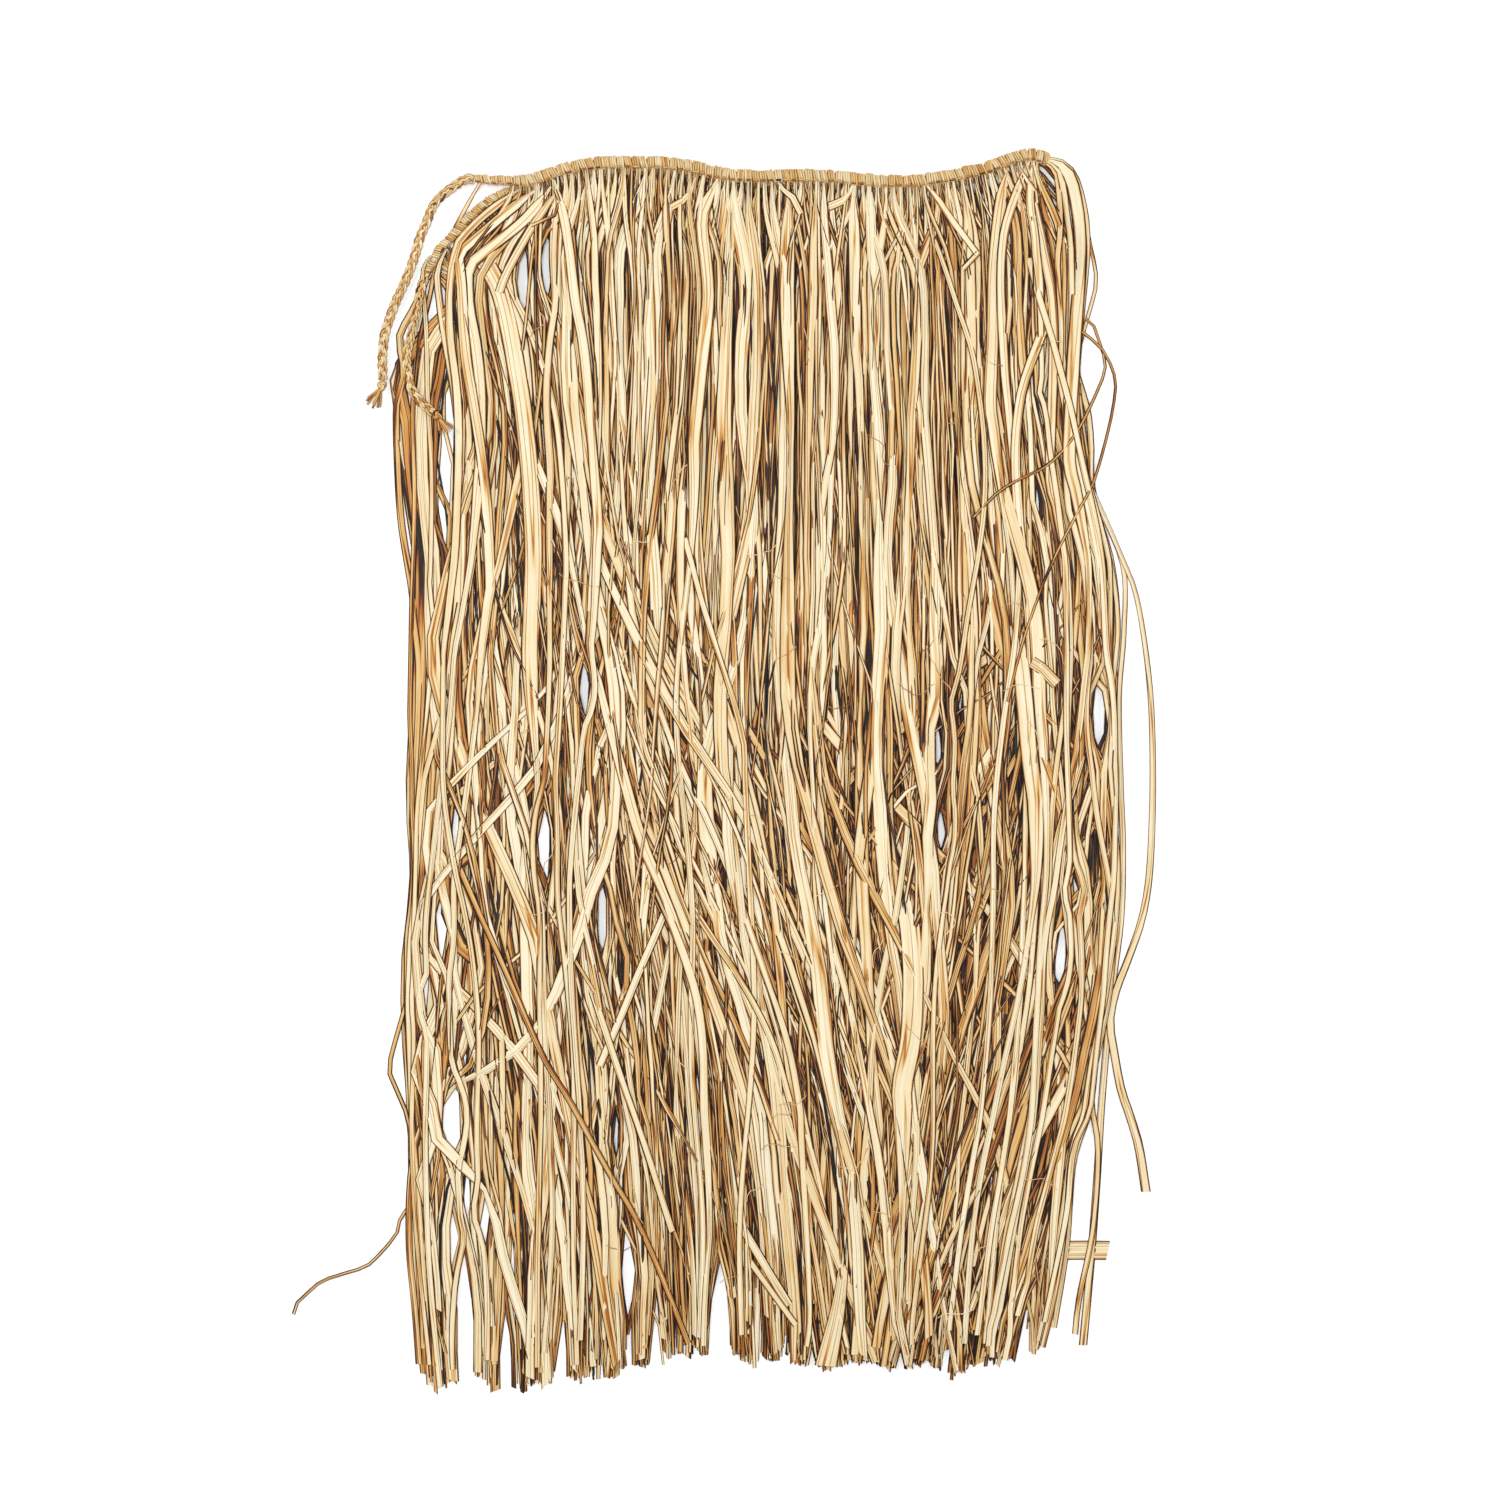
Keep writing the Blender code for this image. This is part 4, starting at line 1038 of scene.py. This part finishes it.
def runOn(way, shares, courses, rng):
    # goes on from the last point to the hem along the course that it is on there
    x, drop = way[-1]
    across = [np.interp(drop, courses[:, 0], courses[:, k + 1]) for k in range(len(shares))]
    share = float(np.interp(x, across, shares))
    drops = np.arange(drop + 14.0, belowHem, 10.0)
    gone = drops - drop
    moved = rng.gauss(0, 0.03) * smooth(gone / 260) + rng.gauss(0, 0.02) * smooth((gone - 150) / 200)
    xs = (courseAt(shares, courses, share + moved, drops)
          + rng.uniform(1, 3) * np.sin(gone / rng.uniform(35, 60)))
    xs = xs + (x - acrossAt(shares, courses, share, drop)) * (1 - smooth(gone / 60))
    xs = clearOfSlits(xs, drops, 2.0)
    tip = np.interp(xs[-1], hemLine[:, 0], hemLine[:, 1]) - rng.uniform(0, 25)
    return [*way, *[(a, b) for a, b in zip(xs, drops) if b < tip]]


def acrossAt(shares, courses, share, drop):
    return float(courseAt(shares, courses, np.array([share]), np.array([drop]))[0])


def placeStrands(bundle, row, shares, courses, rng):
    root = rows.get(row, rows["front_upper"])["root"] / squeeze
    for laidWith, full, tone, roll, start, way in placed:
        if laidWith != row:
            continue
        tied = start.startswith("tied")
        way = fromPhoto(way)
        given = sum(math.dist(a, b) for a, b in zip(way, way[1:]))
        if start.endswith("on"):
            way = runOn(way, shares, courses, rng)

        def wide(gone):
            first, last = full if isinstance(full, tuple) else (full, full)
            later = first + (last - first) * np.minimum(1, gone / given)
            later = later + (min(last, placing["runOnWide"]) - last) * smooth((gone - given) / 90)
            return placing["root"] + (later - placing["root"]) * smooth(gone / 20) if tied else later

        layStrand(bundle, curveThrough(way, 3.0), wide, steady(roll), steady(tone + placing["darker"]), rng,
                  rootHeight=root if tied else None, station=placing["station"],
                  points=7 if np.max(full) > 6 else 5,
                  dip=placing["dip"] if start.startswith("under") else 0.0, ragged=placing["ragged"])


def placeHairs(bundle, rng):
    for _ in range(hairs["count"]):
        drop = rng.uniform(120, 760)
        x = float(courseAt(frontShares, frontCourses, np.array([rng.uniform(0.06, 0.94)]),
                           np.array([drop]))[0])
        heading = rng.uniform(0, 2 * math.pi)
        way = [(x, drop)]
        for _ in range(rng.randint(4, 8)):
            heading += rng.uniform(-hairs["bend"], hairs["bend"])
            way.append((way[-1][0] + 3.6 * math.cos(heading), way[-1][1] + 3.6 * math.sin(heading)))
        layStrand(bundle, curveThrough(way, 1.5), steady(hairs["wide"]), steady(-1.0), steady(hairs["tone"]),
                  rng, points=3, station=4.0)


bundles = {}
for name, bandLine, shares, courses, seed in (
        ("back_lower", backBand, backShares, backCourses, 41),
        ("back_upper", backBand, backShares, backCourses, 42),
        ("front_lower", frontBand[1:], frontShares, frontCourses, 43),
        ("front_middle", frontBand[1:], frontShares, frontCourses, 44),
        ("front_upper", frontBand[1:], frontShares, frontCourses, 45),
        ("front_blades", None, frontShares, frontCourses, 46),
        ("loose", None, frontShares, frontCourses, 51)):
    bundles[name] = Bundle()
    if bandLine:
        strandRow(bundles[name], bandLine, shares, courses, rows[name]["count"], seed, rows[name])
    placeStrands(bundles[name], name, shares, courses, random.Random(seed + 10))
    print(name, "laid, the pile is", round(float(np.percentile(pile.high, 90)) * squeeze, 1), "to",
          round(float(np.percentile(pile.high, 99.8)) * squeeze, 1), "mm high")
placeHairs(bundles["loose"], random.Random(62))

# painted shade for the crevices: how far a strand must lie below the pile around it before its tone darkens,
# and by how much
creviceShade = {"reach": 3, "start": 0.6, "over": 3.4, "dark": 0.36}
brim = pile.brim(creviceShade["reach"])
for name, slotName, stands, restsOn in (
        ("back_lower", "raffia_back", "fringe_back_lower", "waist_back_hitches"),
        ("back_upper", "raffia_back", "fringe_back_upper", "raffia_back_lower"),
        ("front_lower", "raffia_front", "fringe_front_lower", "raffia_back_upper"),
        ("front_middle", "raffia_front", None, "raffia_front_lower"),
        ("front_upper", "raffia_front", "fringe_front_upper", "raffia_front_middle"),
        ("front_blades", "raffia_front", None, "raffia_front_upper"),
        ("loose", "raffia_loose", "fringe_loose", "raffia_front_upper")):
    bundles[name].paintCreviceShade(brim)
    piece = bundles[name].joined("raffia_" + name, materials[slotName], slotName)
    if stands:
        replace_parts(piece, stands)


# Floor and light

studio = {"floor": 0.95, "floorSize": 8.0, "floorDrop": 0.0005, "floorRough": 0.9, "key": 16.0, "side": 9.0,
          "above": 58.0, "aboveSize": 0.9, "world": 0.42}


def addFloor():
    bpy.ops.mesh.primitive_plane_add(size=studio["floorSize"], location=(0, 0, -studio["floorDrop"]))
    floor = bpy.context.active_object
    floor.name = "floor"
    material = bpy.data.materials.new("floor")
    material.use_nodes = True
    shader = material.node_tree.nodes["Principled BSDF"]
    shader.inputs["Base Color"].default_value = (studio["floor"], studio["floor"], studio["floor"], 1)
    shader.inputs["Roughness"].default_value = studio["floorRough"]
    floor.data.materials.append(material)


def addLight(name, place, aim, power, size, colour=(1, 1, 1)):
    lamp = bpy.data.lights.new(name, "AREA")
    lamp.energy = power
    lamp.size = size
    lamp.color = colour
    holder = bpy.data.objects.new(name, lamp)
    holder.location = place
    holder.rotation_euler = (Vector(aim) - Vector(place)).to_track_quat("-Z", "Y").to_euler()
    bpy.context.scene.collection.objects.link(holder)


addFloor()
addLight("keyLight", (-1.5, 1.2, 1.7), (0, 0, 0), studio["key"], 0.6, (1.0, 0.98, 0.95))
addLight("sideLight", (1.7, 0.6, 1.5), (0, 0, 0), studio["side"], 0.9)
addLight("aboveLight", (-0.15, 0.12, 2.9), (0, 0, 0), studio["above"], studio["aboveSize"])
world = bpy.data.worlds.new("studio")
world.use_nodes = True
world.node_tree.nodes["Background"].inputs["Color"].default_value = (1, 1, 1, 1)
world.node_tree.nodes["Background"].inputs["Strength"].default_value = studio["world"]
bpy.context.scene.world = world
bpy.context.scene.view_settings.view_transform = "Standard"
print("stage set")
